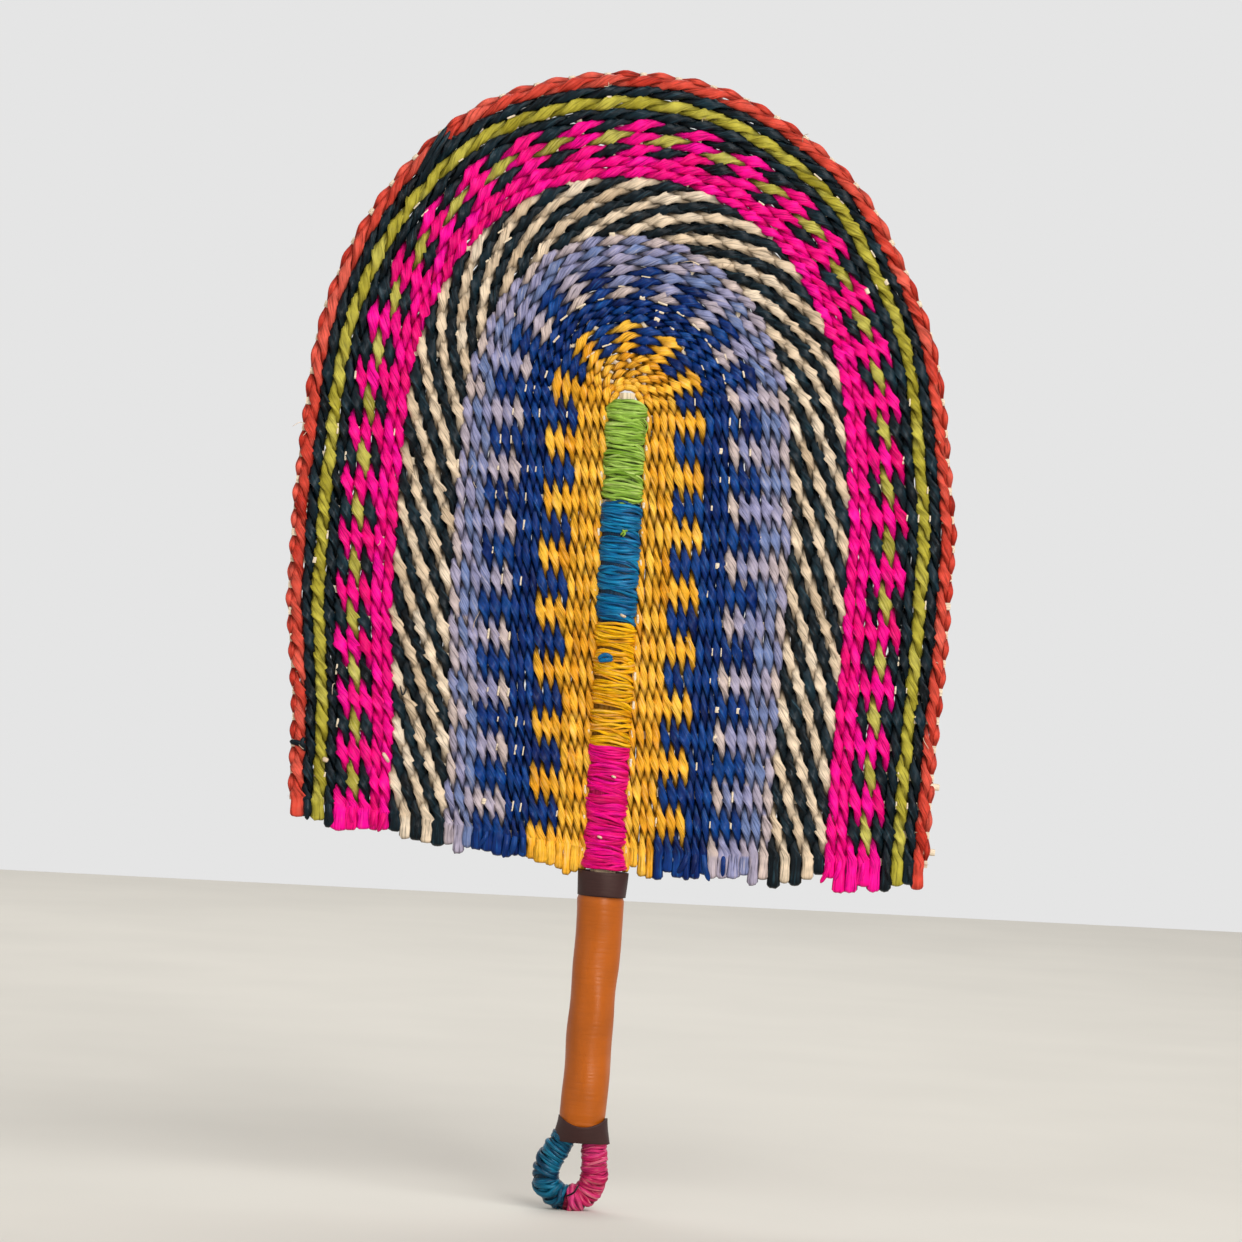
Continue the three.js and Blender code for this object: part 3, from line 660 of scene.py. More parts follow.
def stake_stations(crown):
    """Stations of all the stakes that a row crosses, with so many of them in the dome."""
    leg = (np.arange(STAKES_PER_LEG) + 0.5) / STAKES_PER_LEG * ArchPath.LEG_SPANS
    turned = 0.5 + (HUB_TURN if crown <= HUB_CROWN else 0)
    dome = ArchPath.LEG_SPANS + (np.arange(crown) + turned) / crown * ArchPath.DOME_SPANS
    whole = 2 * ArchPath.LEG_SPANS + ArchPath.DOME_SPANS
    return np.concatenate([leg, dome, whole - leg[::-1]])


CROWN_AT_RIM = 29
# Rows of each band: the dyes at even and at odd stakes, counted clockwise from the left foot,
# and the number of stakes that the row takes in the dome, where two go as one near the hub
BANDS = [
    ("yellow_row", [("golden", "golden")] * 4, [5, 7, 9, 10]),
    ("yellow_blue_row", [("golden", "royal_blue")] * 3, [10] * 3),
    ("blue_row", [("royal_blue", "royal_blue")] * 3, [16] * 3),
    ("lavender_blue_row", [("royal_blue", "rose_beige"), ("royal_blue", "lavender"),
                           ("royal_blue", "lavender")], [16] * 3),
    ("lavender_row", [("periwinkle", "lavender"), ("lavender", "periwinkle"),
                      ("rose_beige", "lavender")], [16, 23, 23]),
    ("cream_black_row", [("navy", "cream"), ("cream", "navy"), ("navy", "cream"),
                         ("cream", "navy"), ("navy", "cream")], [23] * 5),
    ("magenta_row", [("magenta", "magenta")] * 2, [29] * 2),
    ("spotted_row", [("magenta", "navy"), ("magenta", "olive"), ("magenta", "navy")],
     [29] * 3),
    ("inner_navy_row", [("navy", "navy")], [29]),
    ("lime_row", [("lime", "lime")], [29]),
    ("outer_navy_row", [("navy", "navy")], [29]),
    ("coral_rim_row", [("coral", "coral")], [29]),
]


def rows():
    """Every row from the spine out: its name, dyes and number of stakes in the dome."""
    for band, dyes, crowns in BANDS:
        for number, (pair, crown) in enumerate(zip(dyes, crowns), 1):
            yield f"{band}_{number}" if len(dyes) > 1 else band, pair, crown


def row_width(name):
    """A row's width: its crest runs along its middle, so its top stands half of it higher."""
    points = node_points(name)
    crest = points[points[:, 1] < points[:, 1].min() + CREST_REACH]
    return 2 * (points[:, 2].max() - crest[:, 2].max())


def plane_axes(path, lengths):
    """Places on the fan's plane, and the way along and outwards there."""
    place, tangent = path.at(lengths)
    level = np.zeros(len(place))
    centres = np.stack([place[:, 0], level, place[:, 1]], axis=1)
    ahead = np.stack([tangent[:, 0], level, tangent[:, 1]], axis=1)
    outward = np.stack([-tangent[:, 1], level, tangent[:, 0]], axis=1)
    return centres, ahead, outward


RIM = "coral_rim_row"
# The rim's twined pair leaves room on its outer side for the lacing and the stakes' ends: a
# share of the row's width
RIM_PAIR = 0.88


# How much a strand varies from stitch to stitch at full looseness
LOOSE_SWING = 0.25
LOOSE_SIDE = 0.4 * MM
LOOSE_DEPTH = 0.16
LOOSE_TILT = 0.3
LOOSE_SIZE = 0.14
LOOSE_TONE = 0.5
LOOSE_RIDGE = 0.36
LOOSE_LACING = 0.09


def strand_of_row(path, stakes, first_phase, width, steep, sizes, dice):
    """One strand from the first stake to the last: its rings' places, axes, halves and tones.

    It passes in front of every other stake, swings from the inner to the outer side as it
    does, and turns edge-on as it goes through to the back."""
    count = len(stakes)
    phase = np.linspace(0, (count - 1) * np.pi, (count - 1) * sizes.rings + 1)
    own = phase + first_phase
    loose = sizes.looseness

    def wander(spread):
        """A value drawn for each stitch, drifting from one to the next."""
        return np.interp(phase / np.pi, np.arange(count), dice.normal(0, spread * loose, count))

    plane, _, outward = plane_axes(path, np.interp(phase, np.arange(count) * np.pi, stakes))
    swing = sizes.steep_swing if steep else sizes.swing
    gather = sizes.gather * (swing / sizes.swing)
    swing = swing * width * (1 + wander(LOOSE_SWING))
    side = swing * np.sin(own) + wander(LOOSE_SIDE)
    depth = sizes.crest * np.cos(own) * (1 + wander(LOOSE_DEPTH))
    centres = plane + outward * side[:, None] + FRONT * depth[:, None]
    tilt = own + wander(LOOSE_TILT)
    across = outward * np.cos(tilt)[:, None] + BACK * np.sin(tilt)[:, None]
    through = outward * np.sin(tilt)[:, None] + FRONT * np.cos(tilt)[:, None]
    between = np.abs(np.sin(own)) ** 3
    half_width = sizes.breadth * width * (1 - between) + sizes.depth_between * between
    half_thick = sizes.thickness / 2 * (1 - between) + gather * width * between
    half_width = half_width * (1 + wander(LOOSE_SIZE))
    half_thick = half_thick * (1 + wander(LOOSE_SIZE))
    tones = np.clip(dice.normal(0.5, LOOSE_TONE * loose, count), 0, 1)
    tones = tones[np.rint(phase / np.pi).astype(int)]
    return centres, across, through, half_width, half_thick, tones


RINGS_A_FOLD = 10


def ridges_along(rings, sides, spread, dice):
    """Lengthwise folds that drift slowly along a strand."""
    knots = max(rings // RINGS_A_FOLD, 2)
    table = dice.normal(1, spread, (knots, sides))
    places = np.linspace(0, knots - 1, rings)
    return read_off(places, np.arange(knots), table)


# A folded end seen from the front: drawn in, then spread, and cut off nearly square, as
# places down the fold and shares of the strand's width there
FOLD_PLACES = [0, 0.35, 0.75, 1]
FOLD_WIDTHS = [1, 0.84, 0.98, 1.02]
FOLD_SPREAD = 0.16
# How round a fold turns, how much it closes and narrows, and how much it is pressed flat
FOLD_ROUNDNESS = 0.45
FOLD_CLOSING = 0.2
FOLD_PINCH = 0.2
FOLD_PRESS = 0.15
FOLD_RINGS = 5
TURN_RINGS = 5


def fold(path, end, sign, ahead_strand, after_strand, sizes, dice):
    """The turn at a foot: a strand runs on past the last stake, folds, and comes back."""
    drop = (sizes.right_fold if sign > 0 else sizes.left_fold) * (1 + dice.normal(0, FOLD_SPREAD))
    steps = FOLD_RINGS
    down = np.linspace(1 / steps, 1, steps)
    turn = np.linspace(0, np.pi, TURN_RINGS + 2)[1:-1]
    reach = ahead_strand[0][1]
    radius = abs(reach) * FOLD_ROUNDNESS
    angle = np.concatenate([np.zeros(steps), turn, np.full(steps, np.pi)])
    run = np.concatenate([down, np.ones(len(turn)), down[::-1]])
    plane, ahead, outward = plane_axes(path, end + sign * drop * run)
    standing = np.sign(reach) * np.cos(angle)[:, None] * BACK
    onwards = sign * ahead * np.sin(angle)[:, None]
    stand_off = np.abs(reach) * (1 - FOLD_CLOSING * run)[:, None]
    centres = plane + standing * stand_off + onwards * radius
    through = standing + onwards
    across = outward * np.sign(ahead_strand[1] @ outward[0])
    halves = [np.concatenate([np.full(steps, ahead_strand[i]),
                              np.linspace(ahead_strand[i], after_strand[i], len(turn)),
                              np.full(steps, after_strand[i])]) for i in (3, 4)]
    spread = np.interp(run, FOLD_PLACES, FOLD_WIDTHS)
    half_width = halves[0] * spread * (1 - FOLD_PINCH * np.sin(angle))
    half_thick = halves[1] * (1 - FOLD_PRESS * run)
    return centres, across, through, half_width, half_thick


def twine_row(context, name, dyes, crown, dice):
    """A whole row: two strands twined round every stake and folded into each other at the feet."""
    sizes = context.scene.fan_weave
    width = row_width(name)
    steep = "cream" in dyes
    room = width * (1 - RIM_PAIR) if name == RIM else 0
    path = ArchPath(crest_line(name), inset=room / 2)
    stakes = path.length_at(stake_stations(crown))
    one, other = [strand_of_row(path, stakes, phase, width - room, steep, sizes, dice)
                  for phase in (0.0, np.pi)]
    at_end = [tuple(part[-1] for part in strand[:5]) for strand in (one, other)]
    at_start = [tuple(part[0] for part in strand[:5]) for strand in (other, one)]
    right = fold(path, stakes[-1], 1, *at_end, sizes, dice)
    back_at_start = (at_start[0][0], -at_start[0][1], *at_start[0][2:])
    left = fold(path, stakes[0], -1, back_at_start, at_start[1], sizes, dice)
    back = [part[::-1] for part in other]
    back[1] = -back[1]
    parts = [one[:5], right, back[:5], left]
    centres, across, through, half_width, half_thick = (
        np.concatenate([part[i] for part in parts]) for i in range(5))
    ridges = ridges_along(len(centres), sizes.sides, LOOSE_RIDGE * sizes.looseness, dice)
    ridges[-1] = ridges[0]
    rings = sweep(centres, across, through, half_width, half_thick, sizes.sides, ridges)
    turn = len(right[0])
    tones = np.concatenate([one[5], np.full(turn, one[5][-1]), back[5], np.full(turn, back[5][-1])])
    half_turns = [len(one[0]) + turn // 2, turn + len(back[0]), turn - turn // 2]
    dye = np.repeat([0, 1, 0], half_turns)
    bundle = Bundle()
    bundle.add(rings, tones, dye, closed=True, start=dice.uniform(0, 1),
               openness=how_open(rings, sizes))
    if name == RIM:
        lace_rim(bundle, path, stakes, width + room, sizes, dice)
    piece = bundle.finish(f"twined_{name}", [straw(context, dye) for dye in dyes])
    dress(piece, name)


def how_open(rings, sizes):
    """Openness for painted shade: points near the crests are left lit, and those between the
    strands are painted darker.
    """
    crest = sizes.crest + sizes.thickness / 4
    return np.clip(np.abs(rings[..., 1]) / crest, 0, 1)


# How far the rim's last strand rises over the pair and stands off the fan's plane
LACE_RISE = 0.35 * MM
LACE_STAND = 1.5 * MM


def lace_rim(bundle, path, stakes, width, sizes, dice):
    """The last strand at the rim, which shows between the stake ends and goes behind them."""
    count = len(stakes)
    phase = np.linspace(-0.4 * np.pi, (count - 0.6) * np.pi, count * sizes.rings)
    plane, _, outward = plane_axes(path, np.interp(phase, np.arange(count) * np.pi, stakes))
    over = -np.cos(2 * phase)
    reach = width / 2 + LACE_RISE * over
    centres = plane + outward * reach[:, None] + FRONT * (LACE_STAND * over)[:, None]
    through = np.tile(FRONT, (len(centres), 1))
    swell = sizes.rim_strand / 2 * (0.9 + 0.18 * over)
    ridges = ridges_along(len(centres), sizes.sides, LOOSE_LACING * sizes.looseness, dice)
    tones = dice.uniform(0, 1, count + 2)[np.rint(phase / np.pi + 0.5).astype(int)]
    rings = sweep(centres, outward, through, swell, swell * 0.6, sizes.sides, ridges)
    bundle.add(rings, tones, 0, openness=how_open(rings, sizes))


class FAN_OT_rows(bpy.types.Operator):
    """Twine the thirty rows of straw"""
    bl_idname = "fan.rows"
    bl_label = "Twine rows"

    def execute(self, context):
        dice = np.random.default_rng(7)
        for name, dyes, crown in rows():
            twine_row(context, name, dyes, crown, dice)
        return {"FINISHED"}


# Stakes and stick, which keep the frame's own meshes

EDGE_ROUNDING = 0.5 * MM


def soften(node_name):
    """Rounds a CAD piece's edges a little."""
    piece = frame["nodes"][node_name]
    bevel = piece.modifiers.new("rounded_edges", "BEVEL")
    bevel.width = EDGE_ROUNDING
    bevel.segments = 2
    bevel.limit_method = "ANGLE"
    bevel.angle_limit = math.radians(30)
    return piece


def finish_node(piece, material):
    piece.data.materials.clear()
    piece.data.materials.append(material)


def stitch_places():
    """For every row, the places on the fan's plane where it passes its stakes."""
    places = []
    for name, _, crown in rows():
        path = ArchPath(crest_line(name))
        places.append(path.at(path.length_at(stake_stations(crown)))[0])
    return places


def culm_routes():
    """Routes of the dome's culms from the rim in, through a stitch of each row. Where a row
    has fewer stitches than the last, the culms farthest from one end."""
    dome = [places[STAKES_PER_LEG:-STAKES_PER_LEG] for places in stitch_places()]
    routes = [[place] for place in dome[-1]]
    ended = []
    for places in reversed(dome[:-1]):
        if len(places) < len(routes):
            shares = (np.arange(len(routes)) + 0.5) / len(routes)
            wanted = (np.arange(len(places)) + 0.5) / len(places)
            kept = [int(np.abs(shares - share).argmin()) for share in wanted]
            ended += [route for i, route in enumerate(routes) if i not in kept]
            routes = [routes[i] for i in kept]
        for route, place in zip(routes, places):
            route.append(place)
    return ended + routes


def fan_out_culms(context, material):
    """The dome's culms, each a little longer than its rows at both ends."""
    sizes = context.scene.fan_stakes
    dice = np.random.default_rng(5)
    bundle = Bundle()
    sides, steps = 8, 2
    for route in culm_routes():
        points = np.array([(x, 0, z) for x, z in route])
        outer = points[0] + unit(points[0] - points[1]) * (sizes.end + dice.uniform(0, 0.8 * MM))
        inner = points[-1] + unit(points[-1] - points[-2]) * sizes.end
        centres = smooth_through([outer, *points, inner], steps)
        tangent = unit(np.gradient(centres, axis=0))
        across = unit(np.cross(tangent, FRONT))
        width = sizes.width * np.interp(np.arange(len(centres)), [0, len(centres)], [1, 0.7])
        rings = sweep(centres, across, np.tile(FRONT, (len(centres), 1)), width / 2,
                      sizes.thickness / 2, sides)
        bundle.add(rings, dice.uniform(), 0)
    dress(bundle.finish("dome_culms", [material]), "crown_stakes")


class FAN_OT_stakes(bpy.types.Operator):
    """Finish the split culms and the stick"""
    bl_idname = "fan.stakes"
    bl_label = "Finish stakes and stick"

    def execute(self, context):
        colours = context.scene.fan_colours
        lying = grown_wood("split_culm_lying", tuple(colours.culm), 0)
        fanned = grown_wood("split_culm_fanned", tuple(colours.culm), 2)
        peeled = grown_wood("peeled_stick", tuple(colours.peeled_wood), 2)
        for name in frame["nodes"]:
            if name.startswith("cross_stake"):
                finish_node(soften(name), lying)
        fan_out_culms(context, fanned)
        finish_node(soften("split_stick"), peeled)
        return {"FINISHED"}


# The spine's binding

# Openness of the binding's first layer: painted shade, nearly black
UNDER_LAYER_OPENNESS = 0.1
# How much steeper a turn rises in front than all round it
FRONT_RISE = 0.8
SPINE_SQUARENESS = 0.85
# Over this height the binding narrows to this share of its width at the top
TOP_ROUNDING = 4 * MM
TOP_SHARE = 0.8
BESIDE_STAKE = 0.5 * MM
# A spine strand's unevenness: how far it lifts, how its width and its folds vary, how deep it is
# for its width, and how close its lanes lie at the edges
SPINE_LIFT = 0.32 * MM
SPINE_UNEVENNESS = 0.12
SPINE_DEPTH = 0.45
EDGE_LANES = 0.74
BOUND_TONE = 0.5


def spine_turns(sizes):
    """Heights of each turn at the spine's sides, and at its front and back."""
    lows = np.concatenate([[NECK_Z + sizes.spine_strand * 0.8], STAKE_HEIGHTS])
    highs = np.concatenate([STAKE_HEIGHTS, [DOME_Z + STAKE_WIDTH / 2 - 1.5 * MM]])
    turns = []
    for number, (low, high) in enumerate(zip(lows, highs)):
        pitch = (high - low) / sizes.turns_between_stakes
        count = sizes.turns_between_stakes
        lowest = low + (STAKE_WIDTH / 2 if number else 0) + BESIDE_STAKE
        highest = high - STAKE_WIDTH / 2 - BESIDE_STAKE
        for turn in range(count):
            even = low + (turn + 0.5) * pitch
            squeezed = lowest + (turn + 0.5) / count * (highest - lowest)
            turns.append((squeezed, even))
    return np.array(turns)


def spine_section(angle, height, sizes):
    """The binding's half widths at a height: fuller at the neck, rounded at the top."""
    low = np.clip((height - NECK_Z) / sizes.neck_flare, 0, 1)
    flare = (1 - low) ** 2
    top = np.clip((DOME_Z - height) / TOP_ROUNDING, 0, 1)
    crown = TOP_SHARE + (1 - TOP_SHARE) * np.sqrt(1 - (1 - top) ** 2)
    wide, deep = ((half + (sizes.neck_half_width - half) * flare) * crown
                  for half in (sizes.spine_half_width, sizes.spine_half_depth))
    return (wide * squared(np.cos(angle), SPINE_SQUARENESS),
            -deep * squared(np.sin(angle), SPINE_SQUARENESS))


def bind_spine(context, name, dye, turns, dice):
    """One colour's turns: fine strands side by side that rise from right to left in front."""
    sizes = context.scene.fan_windings
    steps, sides, count = 24, 8, sizes.spine_strands
    bundle = Bundle()
    whole = len(turns)
    t = np.arange(whole * steps + 1) / steps
    turn = np.minimum(t.astype(int), whole - 1)
    angle = (t - turn) * 2 * np.pi
    # a turn starts at the right side, passes the front, the left side and the back
    right, front = turns[:, 0], turns[:, 1]
    following = np.append(turns[1:, 0], 2 * turns[-1, 0] - turns[-2, 0])
    rise = following - right
    # most of a turn's rise is in front, where the strands slope; behind they lie level
    share_round = (t - turn) + FRONT_RISE * (1 - np.cos(angle)) / (2 * np.pi)
    level = right[turn] + rise[turn] * share_round
    spread = front[turn] - right[turn]
    gap_share = (STAKE_HEIGHTS[1] - STAKE_HEIGHTS[0]) / sizes.turns_between_stakes
    height = level + spread * np.abs(np.sin(angle))
    room = np.abs(np.sin(angle))
    for strand in range(count):
        beside_middle = strand - (count - 1) / 2
        lane = beside_middle * sizes.lay
        knots = np.linspace(0, whole, whole * 8)
        jitter = np.interp(t, knots, dice.normal(0, sizes.crossing, len(knots)))
        z = height + (lane + jitter * room) * gap_share * (EDGE_LANES + (1 - EDGE_LANES) * room)
        x, y = spine_section(angle, z, sizes)
        lift = np.interp(t, knots, dice.normal(0, SPINE_LIFT, len(knots)))
        lift = lift + sizes.bundle_rise * (1 - abs(beside_middle))
        spoke = unit(np.stack([x, y], axis=1))
        centres = np.stack([x + SPINE_X, y, z], axis=1)
        centres[:, :2] += spoke * lift[:, None]
        tangent = unit(np.gradient(centres, axis=0))
        outward = np.concatenate([spoke, np.zeros((len(t), 1))], axis=1)
        across = unit(np.cross(tangent, outward))
        through = np.cross(across, tangent)
        uneven = dice.normal(0, SPINE_UNEVENNESS, whole + 1)
        thick = sizes.spine_strand * (1 + np.interp(t, np.arange(whole + 1), uneven))
        tones = np.clip(np.interp(t, knots, dice.normal(0.5, BOUND_TONE, len(knots))), 0, 1)
        ridges = ridges_along(len(t), sides, SPINE_UNEVENNESS, dice)
        rings = sweep(centres, across, through, thick / 2, thick * SPINE_DEPTH, sides, ridges)
        bundle.add(rings, tones, 0, start=dice.uniform(0, 1), openness=outer_side(sides))
    under_turns(bundle, height.min(), height.max(), sizes)
    piece = bundle.finish(f"bound_{name}", [straw(context, dye)])
    dress(piece, name)


def under_turns(bundle, low, high, sizes):
    """The first layer of the binding, in deep painted shade, which only shows as a dark ground
    between the turns.
    """
    levels = np.linspace(low, high, 12)
    around = np.arange(24) / 24 * 2 * np.pi
    rings = []
    for level in levels:
        x, y = spine_section(around, np.full(24, level), sizes)
        reach = 1 - sizes.spine_strand * 0.3 / np.hypot(x, y)
        rings.append(np.stack([SPINE_X + x * reach, y * reach, np.full(24, level)], axis=1))
    bundle.add(np.array(rings), 0, 0, openness=UNDER_LAYER_OPENNESS)


# Where each colour of the spine ends, as a share of the way up from the neck to the hub
SPINE_COLOURS = [
    ("spine_winding_magenta", "wrap_magenta", 0.262),
    ("spine_winding_gold", "wrap_gold", 0.515),
    ("spine_winding_teal", "wrap_teal", 0.772),
    ("spine_winding_green", "wrap_green", 1.0),
]


class FAN_OT_spine(bpy.types.Operator):
    """Bind the spine in four colours"""
    bl_idname = "fan.spine"
    bl_label = "Bind spine"

    def execute(self, context):
        dice = np.random.default_rng(11)
        turns = spine_turns(context.scene.fan_windings)
        first = 0
        for name, dye, end_share in SPINE_COLOURS:
            end = round(end_share * len(turns))
            bind_spine(context, name, dye, turns[first:end], dice)
            first = end
        return {"FINISHED"}


# Leather

SEAM_HALF_TURN = 0.035
SEAM_RADIUS = 11 * MM
DENT_LENGTH = 22 * MM


def leather_skin(name, profile, material, sizes, seed, seam_depth=0.0):
    """A leather skin on the leaning handle: turned, a little uneven, rolled in at both edges,
    with a narrow dip down its back where its edges are butted."""
    around = 96
    rings = []
    for height, radius in profile:
        ring = []
        for angle in np.arange(around) / around * ROUND:
            off = math.remainder(angle - math.pi / 2, ROUND)
            dip = seam_depth / SEAM_RADIUS * math.exp(-(off / SEAM_HALF_TURN) ** 2)
            low = noise.noise(Vector((math.cos(angle) * 1.3, math.sin(angle) * 1.3,
                                      height / DENT_LENGTH + seed)))
            reach = (radius + low * sizes.wobble * 2) * (1 - dip)
            ring.append((reach * math.cos(angle), reach * math.sin(angle), height))
        rings.append(ring)
    rings = np.array(rings)
    bundle = Bundle()
    bundle.add(on_handle(rings[..., 0], rings[..., 1], rings[..., 2]), 0.5, 0, closed=True)
    return bundle.finish(name, [material])


def rolled(profile, thickness, top, foot):
    """A closed profile of heights and radii: up the outside, over the top, down the inside."""
    outside = [(h, r) for h, r in profile]
    inner_top = [(top - 0.05 * MM, outside[-1][1] - 0.15 * MM),
                 (top, outside[-1][1] - 0.45 * MM),
                 (top - 0.1 * MM, outside[-1][1] - thickness)]
    inner_foot = [(foot + 0.1 * MM, outside[0][1] - thickness),
                  (foot, outside[0][1] - 0.45 * MM),
                  (foot + 0.05 * MM, outside[0][1] - 0.15 * MM)]
    return outside + inner_top + inner_foot


def profile_between(points, low, high, steps):
    """Radii at even heights, read off the outermost points of a CAD sleeve."""
    along, _ = handle_frame(points)
    radius = np.linalg.norm(points - np.outer(along, GRIP_AXIS), axis=1)
    outer = radius > radius.min() + 0.4 * MM
    order = np.argsort(along[outer])
    known_heights, known_radii = along[outer][order], radius[outer][order]
    levels = np.unique(np.round(known_heights, 5))
    best = [known_radii[np.abs(known_heights - level) < 0.02 * MM].max() for level in levels]
    heights = np.linspace(low, high, steps)
    return list(zip(heights, np.interp(heights, levels, best)))


class FAN_OT_leather(bpy.types.Operator):
    """Stretch the leather over the grip and bind it with two dark bands"""
    bl_idname = "fan.leather"
    bl_label = "Dress the grip"

    def execute(self, context):
        sizes, colours = context.scene.fan_leather, context.scene.fan_colours
        tan = leather("vegetable_tanned_leather", tuple(colours.tan_leather), 0.4)
        dark = leather("dyed_dark_leather", tuple(colours.dark_leather), 0.58)
        grip_points = node_points("leather_grip")
        band = handle_frame(node_points("neck_band"))[0]
        collar_top = handle_frame(node_points("bottom_collar"))[0].max()
        profile = profile_between(grip_points, collar_top - 5 * MM, band.min() + 2 * MM, 60)
        skin = rolled(profile, sizes.band_thickness, band.min() + 2 * MM, collar_top - 5 * MM)
        grip = leather_skin("tan_leather_sleeve", skin, tan, sizes, 3.0, sizes.seam_depth)
        dress(grip, "leather_grip")
        self.band(context, dark, band)
        self.collar(context, dark)
        return {"FINISHED"}

    @staticmethod
    def band(context, dark, band):
        sizes = context.scene.fan_leather
        low, high = band.min(), band.max()
        points = node_points("neck_band")
        profile = profile_between(points, low, high - 0.2 * MM, 14)
        swell = [(h, r + 0.15 * MM * math.sin((h - low) / (high - low) * math.pi))
                 for h, r in profile]
        skin = rolled(swell, sizes.band_thickness, high, low)
        piece = leather_skin("dark_neck_band", skin, dark, sizes, 9.0)
        dress(piece, "neck_band")

    @staticmethod
    def collar(context, dark):
        """The collar's rim dips at front and back, and its foot spreads over the loop's legs."""
        sizes = context.scene.fan_leather
        points = node_points("bottom_collar")
        along, across = handle_frame(points)
        foot, side_top = along.min(), along.max()
        front = points[np.abs(across) < 0.5 * MM]
        front_top = handle_frame(front)[0].max()
        half_width = np.abs(across[along < foot + 0.1 * MM]).max()
        half_depth = np.abs(points[along < foot + 0.1 * MM][:, 1]).max()
        top_radius = np.abs(across[along > side_top - 0.1 * MM]).max()
        around, up = 96, 16
        rings = []
        for layer in range(2 * up + 4):
            outside = layer < up + 1
            step = layer if outside else (2 * up + 3 - layer)
            t = min(max(step / up, 0), 1)
            thin = 0 if outside else sizes.band_thickness
            ring = []
            for i in range(around):
                angle = i / around * 2 * np.pi
                cos, sin = math.cos(angle), math.sin(angle)
                top = front_top + (side_top - front_top) * cos * cos
                spread = (1 - t) ** 1.3
                wide = top_radius + (half_width - top_radius) * spread - thin
                deep = top_radius + (half_depth - top_radius) * spread - thin
                z = foot + (top - foot) * t
                wave = noise.noise(Vector((cos * 1.5, sin * 1.5, z / (9 * MM)))) * sizes.wobble
                ring.append((wide * cos + wave * cos, deep * sin + wave * sin, z))
            rings.append(ring)
        rings = np.array(rings)
        bundle = Bundle()
        bundle.add(on_handle(rings[..., 0], rings[..., 1], rings[..., 2]), 0.5, 0, closed=True)
        piece = bundle.finish("dark_bottom_collar", [dark])
        dress(piece, "bottom_collar")


# The hanging loop

KNEE_ABOVE_COLLAR_FOOT = 5 * MM
SEAM_TURN = math.radians(8)
# Openness of the loop's first layer, which is painted in shade
UNDER_LOOP_OPENNESS = 0.45
# A loop strand's unevenness: how far it strays, lifts and swells, how its width and its folds
# vary, and how deep it is for its width
LOOP_STRAY = 0.3
LOOP_LIFT = 0.42 * MM
LOOP_SWELL = 0.25 * MM
LOOP_SWELL_LENGTH = 9 * MM
LOOP_UNEVENNESS = 0.18
LOOP_RIDGE = 0.16
LOOP_DEPTH = 0.4


class LoopLimb:
    """One limb's middle line, from the knee inside the collar to the bottom of the bend."""

    def __init__(self, side):
        self.side = side
        along, across = handle_frame(node_points("loop_core"))
        top = across[along > along.max() - 0.1 * MM]
        right_leg = top[top > 0]
        legs, core = right_leg.mean(), np.ptp(right_leg) / 2
        self.bend = (np.ptp(across) / 2) - core
        self.centre_x = (across.min() + across.max()) / 2
        self.centre_z = along.min() + core + self.bend
        self.collar_foot = handle_frame(node_points("bottom_collar"))[0].min()
        reach = legs - side * self.centre_x
        rise = self.collar_foot + KNEE_ABOVE_COLLAR_FOOT - self.centre_z
        distance = math.hypot(reach, rise)
        self.splay = math.atan2(rise, reach) - math.acos(self.bend / distance)
        self.straight = math.sqrt(distance ** 2 - self.bend ** 2)

    def place(self, lengths):
        """Middles and directions away from the hole, at lengths from the knee."""
        angle = np.maximum(lengths - self.straight, 0) / self.bend - self.splay
        back = np.maximum(self.straight - lengths, 0)
        out_x, out_z = self.side * np.cos(angle), -np.sin(angle)
        x = self.centre_x + self.bend * out_x - self.side * back * math.sin(self.splay)
        z = self.centre_z + self.bend * out_z + back * math.cos(self.splay)
        return x, z, out_x, out_z


